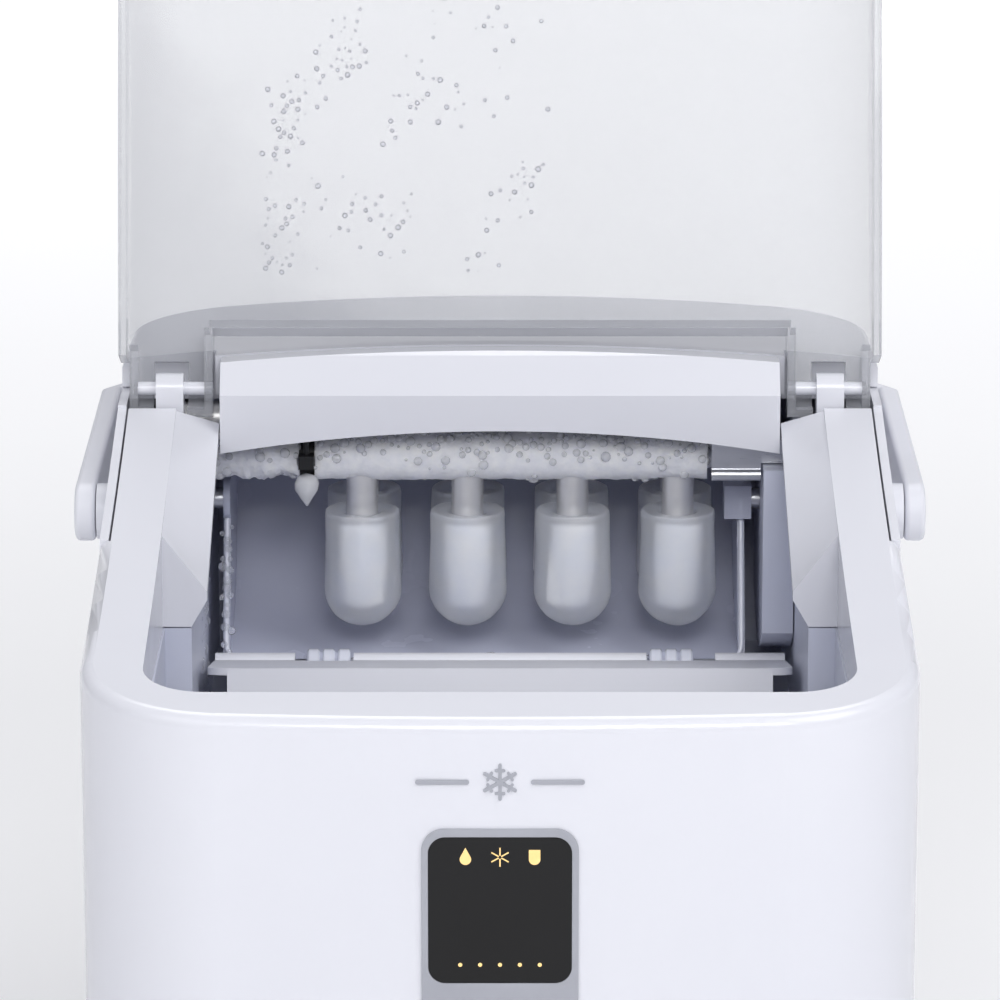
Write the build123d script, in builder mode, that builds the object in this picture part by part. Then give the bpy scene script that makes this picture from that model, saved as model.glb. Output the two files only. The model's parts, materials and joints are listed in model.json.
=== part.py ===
from build123d import *
import os
from math import cos, radians, sin, sqrt

# Countertop bullet-ice maker: clear hinged lid (drawn open), carry bail (folded back), water tray
# (tipped for harvest) and lift-out basket. Millimetres. +X is the user's right, +Y points to the
# back, +Z is up. The origin is on the table, under the middle of the whole object.

os.makedirs("parts", exist_ok=True)

# ------------------------------------------------------------------ driving dimensions
HALF_W = 111.5
Y_FRONT = -162.5
Y_BACK = 145.0
REACH = 163.0
FRONT_BOW = 6.1
FRONT_CORNER_R = 40.0
REAR_CORNER_R = 29.0
WALL = 3.0
PANEL_T = 2.5
SEAM = 0.4
FOOT_H = 6.0
PAN_T = 3.0
BASE_TOP = 24.0

# The rim is one long shallow arc seen from the side, low at the front and high at the hinge.
RIM_RADIUS, RIM_CENTRE_Y, RIM_CENTRE_Z = 1434.0, -272.4, 1677.9
RIM_T = 4.0
RIM_END = 45.0
WRAP_BACK = -112.0
LIP_FRONT = -40.0
FLANGE_DROP = 12.0

MOUTH_HALF_W, MOUTH_FRONT, MOUTH_R = 94.5, -142.0, 17.0
SHELF_HALF_W, SHELF_FRONT, SHELF_T = 82.0, -35.0, 2.5
SHELF_DROP_FRONT, SHELF_DROP_BACK = 17.0, 4.5

HINGE_Y, HINGE_Z, HINGE_PIN_R = 51.0, 284.0, 2.0
LID_OPEN_DEG = 114.5
LID_T = 2.2
LID_END_R = 8.5
LID_FRONT_TOP = 260.0
LUG_X0, LUG_X1 = 92.5, 100.5
ARM_HALF_W, ARM_FRONT = 108.2, 42.0

HOOD_HALF_W, HOOD_FACE, HOOD_BACK, HOOD_T = 81.5, 39.0, 56.4, 2.2
ARCH_MID, ARCH_SIDE = 274.1, 267.0
DECK_FRONT, DECK_LOW, RECESS_BACK = 57.0, 280.8, 66.0
CROWN_MID, CROWN_SIDE = 295.8, 289.8
DECK_FALL_DEG = 3.3

LINER_T = 2.0
TANK_HALF_W, TANK_FRONT, TANK_STEP, TANK_FLOOR, TANK_TOP = 94.0, -144.0, -35.0, 60.0, 236.0
CHAMBER_HALF_W, CHAMBER_FRONT, CHAMBER_BACK, CHAMBER_FLOOR = 86.5, 15.0, 120.0, 187.0

FINGER_XS = (-40.6, -9.6, 21.4, 52.4)
ROW_YS = (55.6, 81.6)
FINGER_R, TUBE_R, TUBE_Z, BEND_X = 4.7, 5.0, 263.0, 64.8
ICE_TOP, ICE_BOTTOM, ICE_R = 246.4, 210.7, 11.8

TRAY_Y, TRAY_Z, TRAY_R, TRAY_T = 68.6, 246.0, 42.0, 2.0
TRAY_LEFT, TRAY_RIGHT = -82.0, 72.5
TRAY_BACK_DEG, TRAY_CHUTE_DEG = 66.0, -81.5
LIP_Y, LIP_Z = 48.6, 201.2
FLAP_Y, FLAP_Z, FLAP_PIN_R = 45.0, 202.0, 1.2
FLAP_LEN, FLAP_RISE_DEG, FLAP_HALF_W, FLAP_T = 55.0, 13.9, 84.0, 2.0
EAR_XS = (-50.5, 50.5)
EAR_W = 13.0

BAIL_Y, BAIL_Z, BAIL_PIN_R = 14.0, 256.8, 4.0
BAIL_IN, BAIL_OUT, BAIL_HALF_H = 116.0, 122.0, 8.5
BAIL_BACK_IN = 149.7

PANEL_Z, PANEL_W, PANEL_H, PANEL_R = 187.0, 41.0, 64.0, 6.0
BUTTON_X, BUTTON_Z, BUTTON_R = 9.5, 166.0, 5.6
BOARD_FACE, SWITCH_T, BUTTON_TRAVEL, KEY_GAP = -152.8, 0.4, 1.5, 0.1
LENS_H, LENS_Z = 40.0, 196.7
BADGE_Z, SNOW_ARM, SNOW_BAR = 231.7, 5.0, 0.9

BASKET_HALF_W, BASKET_FRONT, BASKET_BACK = 86.0, -136.0, -42.0
BASKET_BOTTOM, BASKET_TOP, BASKET_T = 112.0, 208.0, 1.8

FAN_X, FAN_Z, FAN_R = 34.0, 112.0, 40.0
COMPRESSOR_X, COMPRESSOR_Y, COMPRESSOR_R = -58.0, 78.0, 40.0
INLET_X, INLET_Z = -62.0, 52.0
PUMP_X, PUMP_Y = 50.0, -30.0
DRAIN_Y, DRAIN_Z = -70.0, 40.0
FEET = ((-84, -128), (84, -128), (-84, 126), (84, 126))
FOOT_R, FOOT_NECK_R = 12.0, 3.9

# Three pipes climb behind the chamber's left wall, at this X.
RISER_X = -103.0
SUCTION_Y, SUCTION_Z, SUCTION_R = 67.0, 271.0, 3.0
HOT_GAS_R, HOSE_R, SPOUT_Y, SPOUT_Z = 2.6, 4.0, 77.0, 276.5
SHELL_TOP = 114.0

FIN_Y, FIN_DEPTH, FIN_HEIGHT, FIN_PITCH, FIN_T, FIN_COUNT = 74.0, 22.0, 90.0, 4.0, 0.6, 20
PASS_ZS = (79.0, 101.0, 123.0, 145.0)
COIL_R, COIL_LEFT, COIL_RIGHT, COIL_END = 3.0, -14.5, 84.5, -12.0


# ------------------------------------------------------------------ helpers
def rim_z(y):
    """Height of the rim at depth y."""
    return RIM_CENTRE_Z - sqrt(RIM_RADIUS**2 - (y - RIM_CENTRE_Y) ** 2)


def slab(x0, x1, y0, y1, z0, z1):
    """A plain block between two corners."""
    block = Box(x1 - x0, y1 - y0, z1 - z0, mode=Mode.PRIVATE)
    return Pos((x0 + x1) / 2, (y0 + y1) / 2, (z0 + z1) / 2) * block


def side_slab(side, x0, x1, y0, y1, z0, z1):
    """A block given for the right side, mirrored when side is -1."""
    low, high = sorted((side * x0, side * x1))
    return slab(low, high, y0, y1, z0, z1)


def rod(radius, start, end):
    """A round bar from one point to another."""
    start, end = Vector(*start), Vector(*end)
    return Part() + Solid.make_cylinder(radius, (end - start).length, Plane(start, z_dir=end - start))


def pipe(points, radius, bends):
    """A tube of straight runs joined by arcs of the given radii."""
    with BuildPart() as tube:
        with BuildLine() as path:
            FilletPolyline(*points, radius=bends)
        with BuildSketch(Plane(path.line @ 0, z_dir=path.line % 0)):
            Circle(radius)
        sweep()
    return tube.part


def body_plan(inset=0.0):
    """Plan of the body: bowed front, large front corners, smaller rear corners."""
    side = HALF_W - inset
    front, back = Y_FRONT + inset, Y_BACK - inset
    shoulder = front + FRONT_BOW
    with BuildSketch() as plan:
        with BuildLine():
            ThreePointArc((-side, shoulder), (0, front), (side, shoulder))
            Polyline((side, shoulder), (side, back), (-side, back), (-side, shoulder))
        make_face()
        fillet(plan.vertices().sort_by(Axis.Y)[:2], FRONT_CORNER_R - inset)
        fillet(plan.vertices().sort_by(Axis.Y)[-2:], REAR_CORNER_R - inset)
    return plan.sketch


def column(inset, z0, z1):
    """The body's plan as a solid from z0 to z1."""
    return Pos(0, 0, z0) * extrude(body_plan(inset), z1 - z0, mode=Mode.PRIVATE)


def side_profile(points, half_width=HALF_W + 20):
    """A closed outline in the Y-Z plane, as a solid of the given half width."""
    with BuildPart() as block:
        with BuildSketch(Plane.YZ):
            with BuildLine():
                Polyline(*points, close=True)
            make_face()
        extrude(amount=half_width, both=True)
    return block.part


def below_rim(drop=0.0, y1=RIM_END):
    """Everything under the rim line lowered by drop, back to y1."""
    y0 = Y_FRONT - 10
    middle = (y0 + y1) / 2
    with BuildPart() as block:
        with BuildSketch(Plane.YZ):
            with BuildLine():
                ThreePointArc(*[(y, rim_z(y) - drop) for y in (y0, middle, y1)])
                Polyline((y1, rim_z(y1) - drop), (y1, -10), (y0, -10), (y0, rim_z(y0) - drop))
            make_face()
        extrude(amount=HALF_W + 20, both=True)
    return block.part


def arc_point(radius, angle):
    """Y and Z of a point around the tray's axis, angle counted from +Y towards +Z."""
    return (TRAY_Y + radius * cos(radians(angle)), TRAY_Z + radius * sin(radians(angle)))


def save(part, name):
    """Labels a finished sub-part and writes its STEP file."""
    part.label = name
    export_step(part, f"parts/{name}.step")


# ------------------------------------------------------------------ front housing
rim_cavity = column(WALL, 0, 300) & below_rim(RIM_T, RIM_END + 1)
under_flange = below_rim(FLANGE_DROP, LIP_FRONT)
skirt_reach = below_rim(1.0)

with BuildPart() as front_housing:
    add(column(0, BASE_TOP + SEAM, 300))
    add(below_rim(), mode=Mode.INTERSECT)
    crest = front_housing.faces().sort_by(Axis.Z)[-1].outer_wire().edges()
    fillet(crest.filter_by(lambda edge: edge.center().Y < RIM_END - 0.5), 3.6)
    add(rim_cavity, mode=Mode.SUBTRACT)
    for side in (-1, 1):
        edge_x = HALF_W - PANEL_T - 0.6
        add(side_slab(side, edge_x, 130, LIP_FRONT, RIM_END + 1, 0, 300), mode=Mode.SUBTRACT)
        strip = side_slab(side, edge_x, 130, WRAP_BACK, LIP_FRONT, 0, 300) & under_flange
        add(strip, mode=Mode.SUBTRACT)
    with BuildSketch() as mouth:
        with Locations((0, (MOUTH_FRONT + 80) / 2)):
            RectangleRounded(2 * MOUTH_HALF_W, 80 - MOUTH_FRONT, MOUTH_R)
    extrude(amount=300, mode=Mode.SUBTRACT)
    with BuildSketch(Plane.XZ.offset(170)):
        with Locations((0, PANEL_Z)):
            RectangleRounded(PANEL_W - 1.6, PANEL_H - 1.6, PANEL_R - 0.8)
    extrude(amount=-20, mode=Mode.SUBTRACT)

with BuildPart() as mouth_skirt:
    with BuildSketch(Plane.XY.offset(TANK_TOP + SEAM)):
        with Locations((0, (MOUTH_FRONT + 80) / 2)):
            RectangleRounded(2 * MOUTH_HALF_W + 4, 84 - MOUTH_FRONT, MOUTH_R + 2)
            RectangleRounded(2 * MOUTH_HALF_W, 80 - MOUTH_FRONT, MOUTH_R, mode=Mode.SUBTRACT)
    extrude(amount=80)
    add(skirt_reach, mode=Mode.INTERSECT)


def shelf(side):
    """Sloping shelf from the rim to the chamber, nearly level behind and steep in front."""
    outer, inner = side * (MOUTH_HALF_W + 1.5), side * SHELF_HALF_W
    edge = side * MOUTH_HALF_W
    with BuildPart() as ramp:
        for y, drop in ((RIM_END, SHELF_DROP_BACK), (SHELF_FRONT, SHELF_DROP_FRONT)):
            z = rim_z(y)
            with BuildSketch(Plane((0, y, 0), x_dir=(1, 0, 0), z_dir=(0, -1, 0))):
                with BuildLine():
                    Polyline(
                        (outer, z - 0.8),
                        (edge, z - 0.8),
                        (inner, z - drop),
                        (inner, z - drop - SHELF_T),
                        (outer, z - RIM_T),
                        close=True,
                    )
                make_face()
        loft(ruled=True)
    return ramp.part


def shelf_front(side):
    """Upright wall that closes the front end of a shelf."""
    z = rim_z(SHELF_FRONT)
    low = TANK_TOP + SEAM
    with BuildPart() as wall:
        with BuildSketch(Plane((0, SHELF_FRONT, 0), x_dir=(1, 0, 0), z_dir=(0, -1, 0))):
            with BuildLine():
                Polyline(
                    (side * (MOUTH_HALF_W + 1.5), z - 0.8),
                    (side * MOUTH_HALF_W, z - 0.8),
                    (side * SHELF_HALF_W, z - SHELF_DROP_FRONT),
                    (side * SHELF_HALF_W, z - SHELF_DROP_FRONT - SHELF_T),
                    (side * CHAMBER_HALF_W, low),
                    (side * (MOUTH_HALF_W + 1.5), low),
                    close=True,
                )
            make_face()
        extrude(amount=-2.0)
    return wall.part


housing = front_housing.part + mouth_skirt.part
for side in (-1, 1):
    housing += shelf(side) + shelf_front(side)
save(housing, "front_housing")

# ------------------------------------------------------------------ side panels
for side, name in ((-1, "left_side_panel"), (1, "right_side_panel")):
    panel_start = HALF_W - PANEL_T if side > 0 else -HALF_W
    top_line = [(y, rim_z(y)) for y in (RIM_END, 20, -10, LIP_FRONT + SEAM)]
    low_ys = (LIP_FRONT + SEAM, -75, WRAP_BACK + SEAM)
    low_line = [(y, rim_z(y) - FLANGE_DROP - SEAM) for y in low_ys]
    with BuildPart() as side_panel:
        with BuildSketch(Plane.YZ.offset(panel_start)):
            with BuildLine():
                Polyline(
                    (WRAP_BACK + SEAM, BASE_TOP + SEAM),
                    (116 - SEAM, BASE_TOP + SEAM),
                    (116 - SEAM, DECK_LOW - SEAM),
                    (RIM_END, DECK_LOW - SEAM),
                    *top_line,
                    *low_line,
                    close=True,
                )
            make_face()
            with Locations((56, 96)):
                with GridLocations(40, 9, 2, 9):
                    SlotOverall(34, 4, mode=Mode.SUBTRACT)
            with Locations((BAIL_Y, BAIL_Z)):
                Circle(BAIL_PIN_R + 0.1, mode=Mode.SUBTRACT)
            if side > 0:
                with Locations((DRAIN_Y, DRAIN_Z)):
                    Circle(9.4, mode=Mode.SUBTRACT)
        extrude(amount=PANEL_T)
    save(side_panel.part, name)

# ------------------------------------------------------------------ rear panel
rear_shell = column(0, BASE_TOP + SEAM, DECK_LOW - SEAM) - column(PANEL_T, 0, 300)

with BuildPart() as rear_panel:
    add(rear_shell)
    add(slab(-130, 130, -180, 116, 0, 300), mode=Mode.SUBTRACT)
    with BuildSketch(Plane((FAN_X, Y_BACK + 1, FAN_Z), x_dir=(1, 0, 0), z_dir=(0, -1, 0))):
        for row in range(-5, 6):
            chord = 2 * sqrt(43**2 - (7.8 * row) ** 2)
            with Locations((0, 7.8 * row)):
                SlotOverall(chord, 4)
        with Locations((INLET_X - FAN_X, INLET_Z - FAN_Z)):
            Rectangle(28.4, 21.4)
    extrude(amount=6, mode=Mode.SUBTRACT)
save(rear_panel.part, "rear_panel")

# ------------------------------------------------------------------ rear deck
def above_crown(drop):
    """Everything above the crowned, slightly falling top surface lowered by drop."""
    side_z = CROWN_SIDE - drop
    with BuildPart() as block:
        with BuildSketch(Plane.XZ.offset(-DECK_FRONT + 20)):
            with BuildLine():
                ThreePointArc((-HALF_W, side_z), (0, CROWN_MID - drop), (HALF_W, side_z))
                Polyline((HALF_W, side_z), (HALF_W, 340), (-HALF_W, 340), (-HALF_W, side_z))
            make_face()
        extrude(amount=-140)
    tilt_axis = Axis((0, DECK_FRONT, CROWN_MID), (1, 0, 0))
    return block.part.rotate(tilt_axis, -DECK_FALL_DEG)


deck_sky, deck_sky_in = above_crown(0), above_crown(PANEL_T)
deck_wall = slab(-130, 130, -180, DECK_FRONT + PANEL_T, 0, 300)
deck_hollow = (column(PANEL_T, 0, 300) - deck_sky_in) - deck_wall

with BuildPart() as rear_deck:
    add(column(0, DECK_LOW, 300))
    add(slab(-130, 130, -180, DECK_FRONT, 0, 301), mode=Mode.SUBTRACT)
    add(deck_sky, mode=Mode.SUBTRACT)
    crown_edges = rear_deck.faces().sort_by(Axis.Z)[-1].outer_wire().edges()
    fillet(crown_edges.filter_by(lambda edge: edge.center().Y > DECK_FRONT + 1), 3.5)
    add(deck_hollow, mode=Mode.SUBTRACT)
    for side in (-1, 1):
        add(side_slab(side, 83.5, 112, DECK_FRONT - 1, RECESS_BACK, 270, 300), mode=Mode.SUBTRACT)
        recess_wall = side_slab(side, 82.5, 108.9, RECESS_BACK, RECESS_BACK + 2, 277.2, 300)
        add(recess_wall - deck_sky)
save(rear_deck.part, "rear_deck")

# ------------------------------------------------------------------ hood over the evaporator
def hood_block(inset):
    """Hood from the side: upright face, sloped band, then the top running back."""
    face, back = HOOD_FACE + inset, HOOD_BACK + 10 * inset
    outline = [
        (face, 255.0),
        (face, 284.7),
        (HOOD_FACE + 9 + 0.6 * inset, 294.6 - inset),
        (HOOD_FACE + 10, CROWN_MID + 2 - inset),
        (back, CROWN_MID + 2 - inset),
        (back, 255.0),
    ]
    return side_profile(outline, HOOD_HALF_W - inset)


hood_outside, hood_inside = hood_block(0), hood_block(HOOD_T)
hood_sky = above_crown(0.3)
hood_hollow = hood_inside - above_crown(HOOD_T + 0.3)

arch_reach = HOOD_HALF_W + 2
with BuildPart() as hood_arch:
    with BuildSketch(Plane.XZ.offset(-60)):
        with BuildLine():
            ThreePointArc((-arch_reach, ARCH_SIDE), (0, ARCH_MID), (arch_reach, ARCH_SIDE))
            Polyline(
                (arch_reach, ARCH_SIDE),
                (arch_reach, 250),
                (-arch_reach, 250),
                (-arch_reach, ARCH_SIDE),
            )
        make_face()
    extrude(amount=40)

with BuildPart() as evaporator_hood:
    add(hood_outside)
    add(hood_sky, mode=Mode.SUBTRACT)
    add(hood_hollow, mode=Mode.SUBTRACT)
    add(hood_arch.part, mode=Mode.SUBTRACT)
    add(slab(-90, 90, 45, 60, 250, 283), mode=Mode.SUBTRACT)
save(evaporator_hood.part, "evaporator_hood")

# ------------------------------------------------------------------ lid hinge blocks
for side, name in ((-1, "left_hinge_block"), (1, "right_hinge_block")):
    lug_middle = side * (LUG_X0 + LUG_X1) / 2
    with BuildPart() as hinge_block:
        add(side_slab(side, 89.5, 108.0, RIM_END + SEAM, 61.0, 270.0, 273.0))
        add(side_slab(side, LUG_X0, LUG_X1, HINGE_Y - 4.5, HINGE_Y + 4.5, 272.5, HINGE_Z))
        add(rod(4.5, (side * LUG_X0, HINGE_Y, HINGE_Z), (side * LUG_X1, HINGE_Y, HINGE_Z)))
        add(rod(HINGE_PIN_R, (side * 84.2, HINGE_Y, HINGE_Z), (side * 106, HINGE_Y, HINGE_Z)))
    save(hinge_block.part, name)

# ------------------------------------------------------------------ lid
def lid_block(inset):
    """The closed lid from the side, from its lip on the rim to its gently domed top."""
    end_r = LID_END_R - inset
    front = Y_FRONT + inset
    gap = 0.5 if inset == 0 else -6.0
    foot = HINGE_Y + 5 - inset
    bottom = [(y, rim_z(y) + gap) for y in (foot, -60, front)]
    front_top = (front, LID_FRONT_TOP - inset)
    back_top = (HINGE_Y, HINGE_Z + end_r)
    middle = ((front + HINGE_Y) / 2, (front_top[1] + back_top[1]) / 2 + 1.5)
    with BuildPart() as block:
        with BuildSketch(Plane.YZ):
            with BuildLine():
                ThreePointArc(*bottom)
                Line(bottom[2], front_top)
                ThreePointArc(front_top, middle, back_top)
                half = end_r * cos(radians(45))
                ThreePointArc(back_top, (HINGE_Y + half, HINGE_Z + half), (HINGE_Y + end_r, HINGE_Z))
                Line((HINGE_Y + end_r, HINGE_Z), bottom[0])
            make_face()
        extrude(amount=HALF_W + 5, both=True)
    return block.part & column(inset, 0, 400)


lid_outside, lid_inside = lid_block(0), lid_block(LID_T)

with BuildPart() as lid_closed:
    add(lid_outside)
    add(lid_inside, mode=Mode.SUBTRACT)
    notch = HOOD_HALF_W + 2.5
    notch_front = HOOD_FACE - 4.8
    add(slab(-notch, notch, notch_front, 80, 200, 340), mode=Mode.SUBTRACT)
    for side in (-1, 1):
        web = side_slab(side, notch, notch + 2.4, notch_front, 60, 270, 300) & lid_outside
        far_web = side_slab(side, 105.8, ARM_HALF_W, ARM_FRONT - 3, 60, 270, 300) & lid_outside
        add(web + far_web)
        add(side_slab(side, ARM_HALF_W, 130, ARM_FRONT, 80, 270, 300), mode=Mode.SUBTRACT)
        add(side_slab(side, LUG_X0 - 1, LUG_X1 + 1, HINGE_Y - 9, 80, 270, 300), mode=Mode.SUBTRACT)
        hole = rod(HINGE_PIN_R + 0.06, (side * 80, HINGE_Y, HINGE_Z), (side * 107, HINGE_Y, HINGE_Z))
        add(hole, mode=Mode.SUBTRACT)
    front_web = slab(-notch - 1, notch + 1, notch_front - LID_T, notch_front, 270, 320) & lid_outside
    add(front_web)

lid_swing = Axis((0, HINGE_Y, HINGE_Z), (1, 0, 0))
lid = lid_closed.part.rotate(lid_swing, -LID_OPEN_DEG)
save(lid, "lid")

# ------------------------------------------------------------------ base pan and feet
with BuildPart() as base_pan:
    add(column(0.8, FOOT_H, BASE_TOP))
    fillet(base_pan.faces().sort_by(Axis.Z)[0].outer_wire().edges(), 2.5)
    add(column(3.6, FOOT_H + PAN_T, BASE_TOP + 1), mode=Mode.SUBTRACT)
    with Locations(*[(x, y, FOOT_H) for x, y in FEET]):
        Cylinder(4, 20, mode=Mode.SUBTRACT)
save(base_pan.part, "base_pan")

with BuildPart() as rubber_feet:
    for x, y in FEET:
        with BuildSketch(Plane.XZ.offset(-y)):
            with BuildLine():
                Polyline(
                    (x, 0),
                    (x + FOOT_R - 1, 0),
                    (x + FOOT_R, 1),
                    (x + FOOT_R, FOOT_H),
                    (x + FOOT_NECK_R, FOOT_H),
                    (x + FOOT_NECK_R, FOOT_H + PAN_T),
                    (x + 5, FOOT_H + PAN_T + 0.6),
                    (x + 3, FOOT_H + 7),
                    (x, FOOT_H + 7),
                    close=True,
                )
            make_face()
        revolve(axis=Axis((x, y, 0), (0, 0, 1)))
save(rubber_feet.part, "rubber_feet")

# ------------------------------------------------------------------ liner and insulation
tank_outer = slab(
    -TANK_HALF_W - LINER_T,
    TANK_HALF_W + LINER_T,
    TANK_FRONT - LINER_T,
    TANK_STEP + LINER_T,
    TANK_FLOOR - LINER_T,
    TANK_TOP,
)
tank_inner = slab(-TANK_HALF_W, TANK_HALF_W, TANK_FRONT, TANK_STEP, TANK_FLOOR, 300)
chamber_outline = [
    (TANK_STEP + 1, TANK_FLOOR - LINER_T),
    (CHAMBER_FRONT + LINER_T, TANK_FLOOR - LINER_T),
    (CHAMBER_FRONT + LINER_T, CHAMBER_FLOOR - LINER_T),
    (CHAMBER_BACK + LINER_T, CHAMBER_FLOOR - LINER_T),
    (CHAMBER_BACK + LINER_T, 271.0),
    (50.0, 271.0),
    (TANK_STEP + LINER_T + 0.5, 246.5),
    (TANK_STEP + LINER_T + 0.5, TANK_TOP),
    (TANK_STEP + 1, TANK_TOP),
]
chamber_hollow = [
    (TANK_STEP - 1, TANK_FLOOR),
    (CHAMBER_FRONT, TANK_FLOOR),
    (CHAMBER_FRONT, CHAMBER_FLOOR),
    (CHAMBER_BACK, CHAMBER_FLOOR),
    (CHAMBER_BACK, 300.0),
    (TANK_STEP - 1, 300.0),
]
chamber_outer = side_profile(chamber_outline, CHAMBER_HALF_W + LINER_T)
chamber_inner = side_profile(chamber_hollow, CHAMBER_HALF_W)

with BuildPart() as inner_liner:
    add(tank_outer)
    fillet(inner_liner.edges().filter_by(Axis.Z).group_by(Axis.Y)[0], 14)
    add(chamber_outer)
    add(tank_inner, mode=Mode.SUBTRACT)
    add(chamber_inner, mode=Mode.SUBTRACT)
    for side in (-1, 1):
        add(side_slab(side, TANK_HALF_W - 4.5, TANK_HALF_W, -128, -50, 198, 203))
    add(rod(6.2, (-100, ROW_YS[0], TUBE_Z), (-80, ROW_YS[0], TUBE_Z)), mode=Mode.SUBTRACT)
    add(slab(-100, -80, 61.5, 72.5, 264.5, 280), mode=Mode.SUBTRACT)
    add(rod(3.05, (-100, TRAY_Y, TRAY_Z), (-80, TRAY_Y, TRAY_Z)), mode=Mode.SUBTRACT)
    add(rod(6.0, (80, TRAY_Y, TRAY_Z), (100, TRAY_Y, TRAY_Z)), mode=Mode.SUBTRACT)
    add(rod(4.2, (PUMP_X, PUMP_Y, 50), (PUMP_X, PUMP_Y, 70)), mode=Mode.SUBTRACT)
    add(rod(5.2, (70, DRAIN_Y, 50), (70, DRAIN_Y, 70)), mode=Mode.SUBTRACT)
save(inner_liner.part, "inner_liner")

foam_gap = LINER_T + SEAM
with BuildPart() as foam_hole:
    add(slab(-TANK_HALF_W - foam_gap, TANK_HALF_W + foam_gap, TANK_FRONT - foam_gap, 0, 50, 240))
    fillet(foam_hole.edges().filter_by(Axis.Z).group_by(Axis.Y)[0], 14)
with BuildPart() as insulation:
    add(column(5.0, TANK_FLOOR, TANK_TOP - 8))
    add(slab(-120, 120, -180, -153, 0, 300), mode=Mode.SUBTRACT)
    add(slab(-120, 120, TANK_STEP, 200, 0, 300), mode=Mode.SUBTRACT)
    add(foam_hole.part, mode=Mode.SUBTRACT)
    add(slab(-22, 22, -160, -150.5, 150, 240), mode=Mode.SUBTRACT)
save(insulation.part, "tank_insulation")

# ------------------------------------------------------------------ evaporator, fingers and ice
tube_points = [
    (-98, ROW_YS[0], TUBE_Z),
    (BEND_X, ROW_YS[0], TUBE_Z),
    (BEND_X, ROW_YS[1], TUBE_Z),
    (-60, ROW_YS[1], TUBE_Z),
    (-73, 67, 271),
    (-98, 67, 271),
]
evaporator_tube = pipe(tube_points, TUBE_R, [12.9, 12.9, 9, 8])
save(evaporator_tube, "evaporator_tube")

with BuildPart() as fingers:
    for y in ROW_YS:
        for x in FINGER_XS:
            add(rod(FINGER_R, (x, y, ICE_BOTTOM + 8), (x, y, TUBE_Z - 3)))
    add(evaporator_tube, mode=Mode.SUBTRACT)
save(fingers.part, "freezing_fingers")

with BuildPart() as ice_bullets:
    for y in ROW_YS:
        for x in FINGER_XS:
            with BuildSketch(Plane((x, y, 0), x_dir=(1, 0, 0), z_dir=(0, -1, 0))):
                with BuildLine():
                    round_z = ICE_BOTTOM + ICE_R
                    mid = ICE_R * cos(radians(45))
                    ThreePointArc((0, ICE_BOTTOM), (mid, round_z - mid), (ICE_R, round_z))
                    Polyline((ICE_R, round_z), (ICE_R - 0.7, ICE_TOP), (0, ICE_TOP), (0, ICE_BOTTOM))
                make_face()
            revolve(axis=Axis((x, y, 0), (0, 0, 1)))
    for y in ROW_YS:
        for x in FINGER_XS:
            add(rod(FINGER_R + 0.05, (x, y, ICE_BOTTOM + 7.9), (x, y, ICE_TOP + 5)), mode=Mode.SUBTRACT)
save(ice_bullets.part, "ice_bullets")

with BuildPart() as bracket:
    add(slab(62, 76.4, 47.2, 48.4, 259.5, 269.4))
    add(slab(76.3, 86.1, 47.2, 48.4, 262.4, 269.4))
    add(slab(62, 69.6, 47.2, 88.0, 268.3, 269.4))
    add(rod(1.8, (62, 47.2, 258.9), (76.4, 47.2, 258.9)))
save(bracket.part, "evaporator_bracket")

with BuildPart() as probe_clip:
    add(rod(6.4, (-59, ROW_YS[0], TUBE_Z), (-54.5, ROW_YS[0], TUBE_Z)))
    add(slab(-59, -54.5, 44.6, 50.5, 261.0, 265.0))
    add(rod(TUBE_R + 0.02, (-62, ROW_YS[0], TUBE_Z), (-50, ROW_YS[0], TUBE_Z)), mode=Mode.SUBTRACT)
save(probe_clip.part, "probe_clip")

probe_lead = pipe([(-56.7, 46.4, 265.1), (-56.7, 46.4, 275), (-62, 54, 279), (-74, 54, 279)], 0.8, 3.0)
save(probe_lead, "probe_lead")

# ------------------------------------------------------------------ tipping tray and pusher flap
def tray_outline(radius, lip_drop, back_deg):
    """Side view of the trough out to radius: round back, straight chute to the lip."""
    middle_deg = (TRAY_CHUTE_DEG + back_deg) / 2
    with BuildSketch(Plane.YZ) as outline:
        with BuildLine():
            Line((LIP_Y, LIP_Z - lip_drop), arc_point(radius, TRAY_CHUTE_DEG))
            ThreePointArc(*[arc_point(radius, deg) for deg in (TRAY_CHUTE_DEG, middle_deg, back_deg)])
            Polyline(arc_point(radius, back_deg), (TRAY_Y, TRAY_Z), (LIP_Y, LIP_Z - lip_drop))
        make_face()
    return outline.sketch


tray_side = tray_outline(TRAY_R + TRAY_T, TRAY_T, TRAY_BACK_DEG)
tray_full = Pos(TRAY_LEFT, 0, 0) * extrude(tray_side, TRAY_RIGHT - TRAY_LEFT)
trough_length = TRAY_RIGHT - TRAY_LEFT - 2 * TRAY_T
trough_fill = rod(TRAY_R, (TRAY_LEFT + TRAY_T, TRAY_Y, TRAY_Z), (TRAY_RIGHT - TRAY_T, TRAY_Y, TRAY_Z))
chute_foot = arc_point(TRAY_R, TRAY_CHUTE_DEG)
chute_top = side_profile([(LIP_Y - 10, LIP_Z - 1.3), chute_foot, (TRAY_Y, TRAY_Z), (LIP_Y - 10, TRAY_Z)])
chute_fill = chute_top & slab(TRAY_LEFT + TRAY_T, TRAY_RIGHT - TRAY_T, 20, 90, 190, 260)

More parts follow.
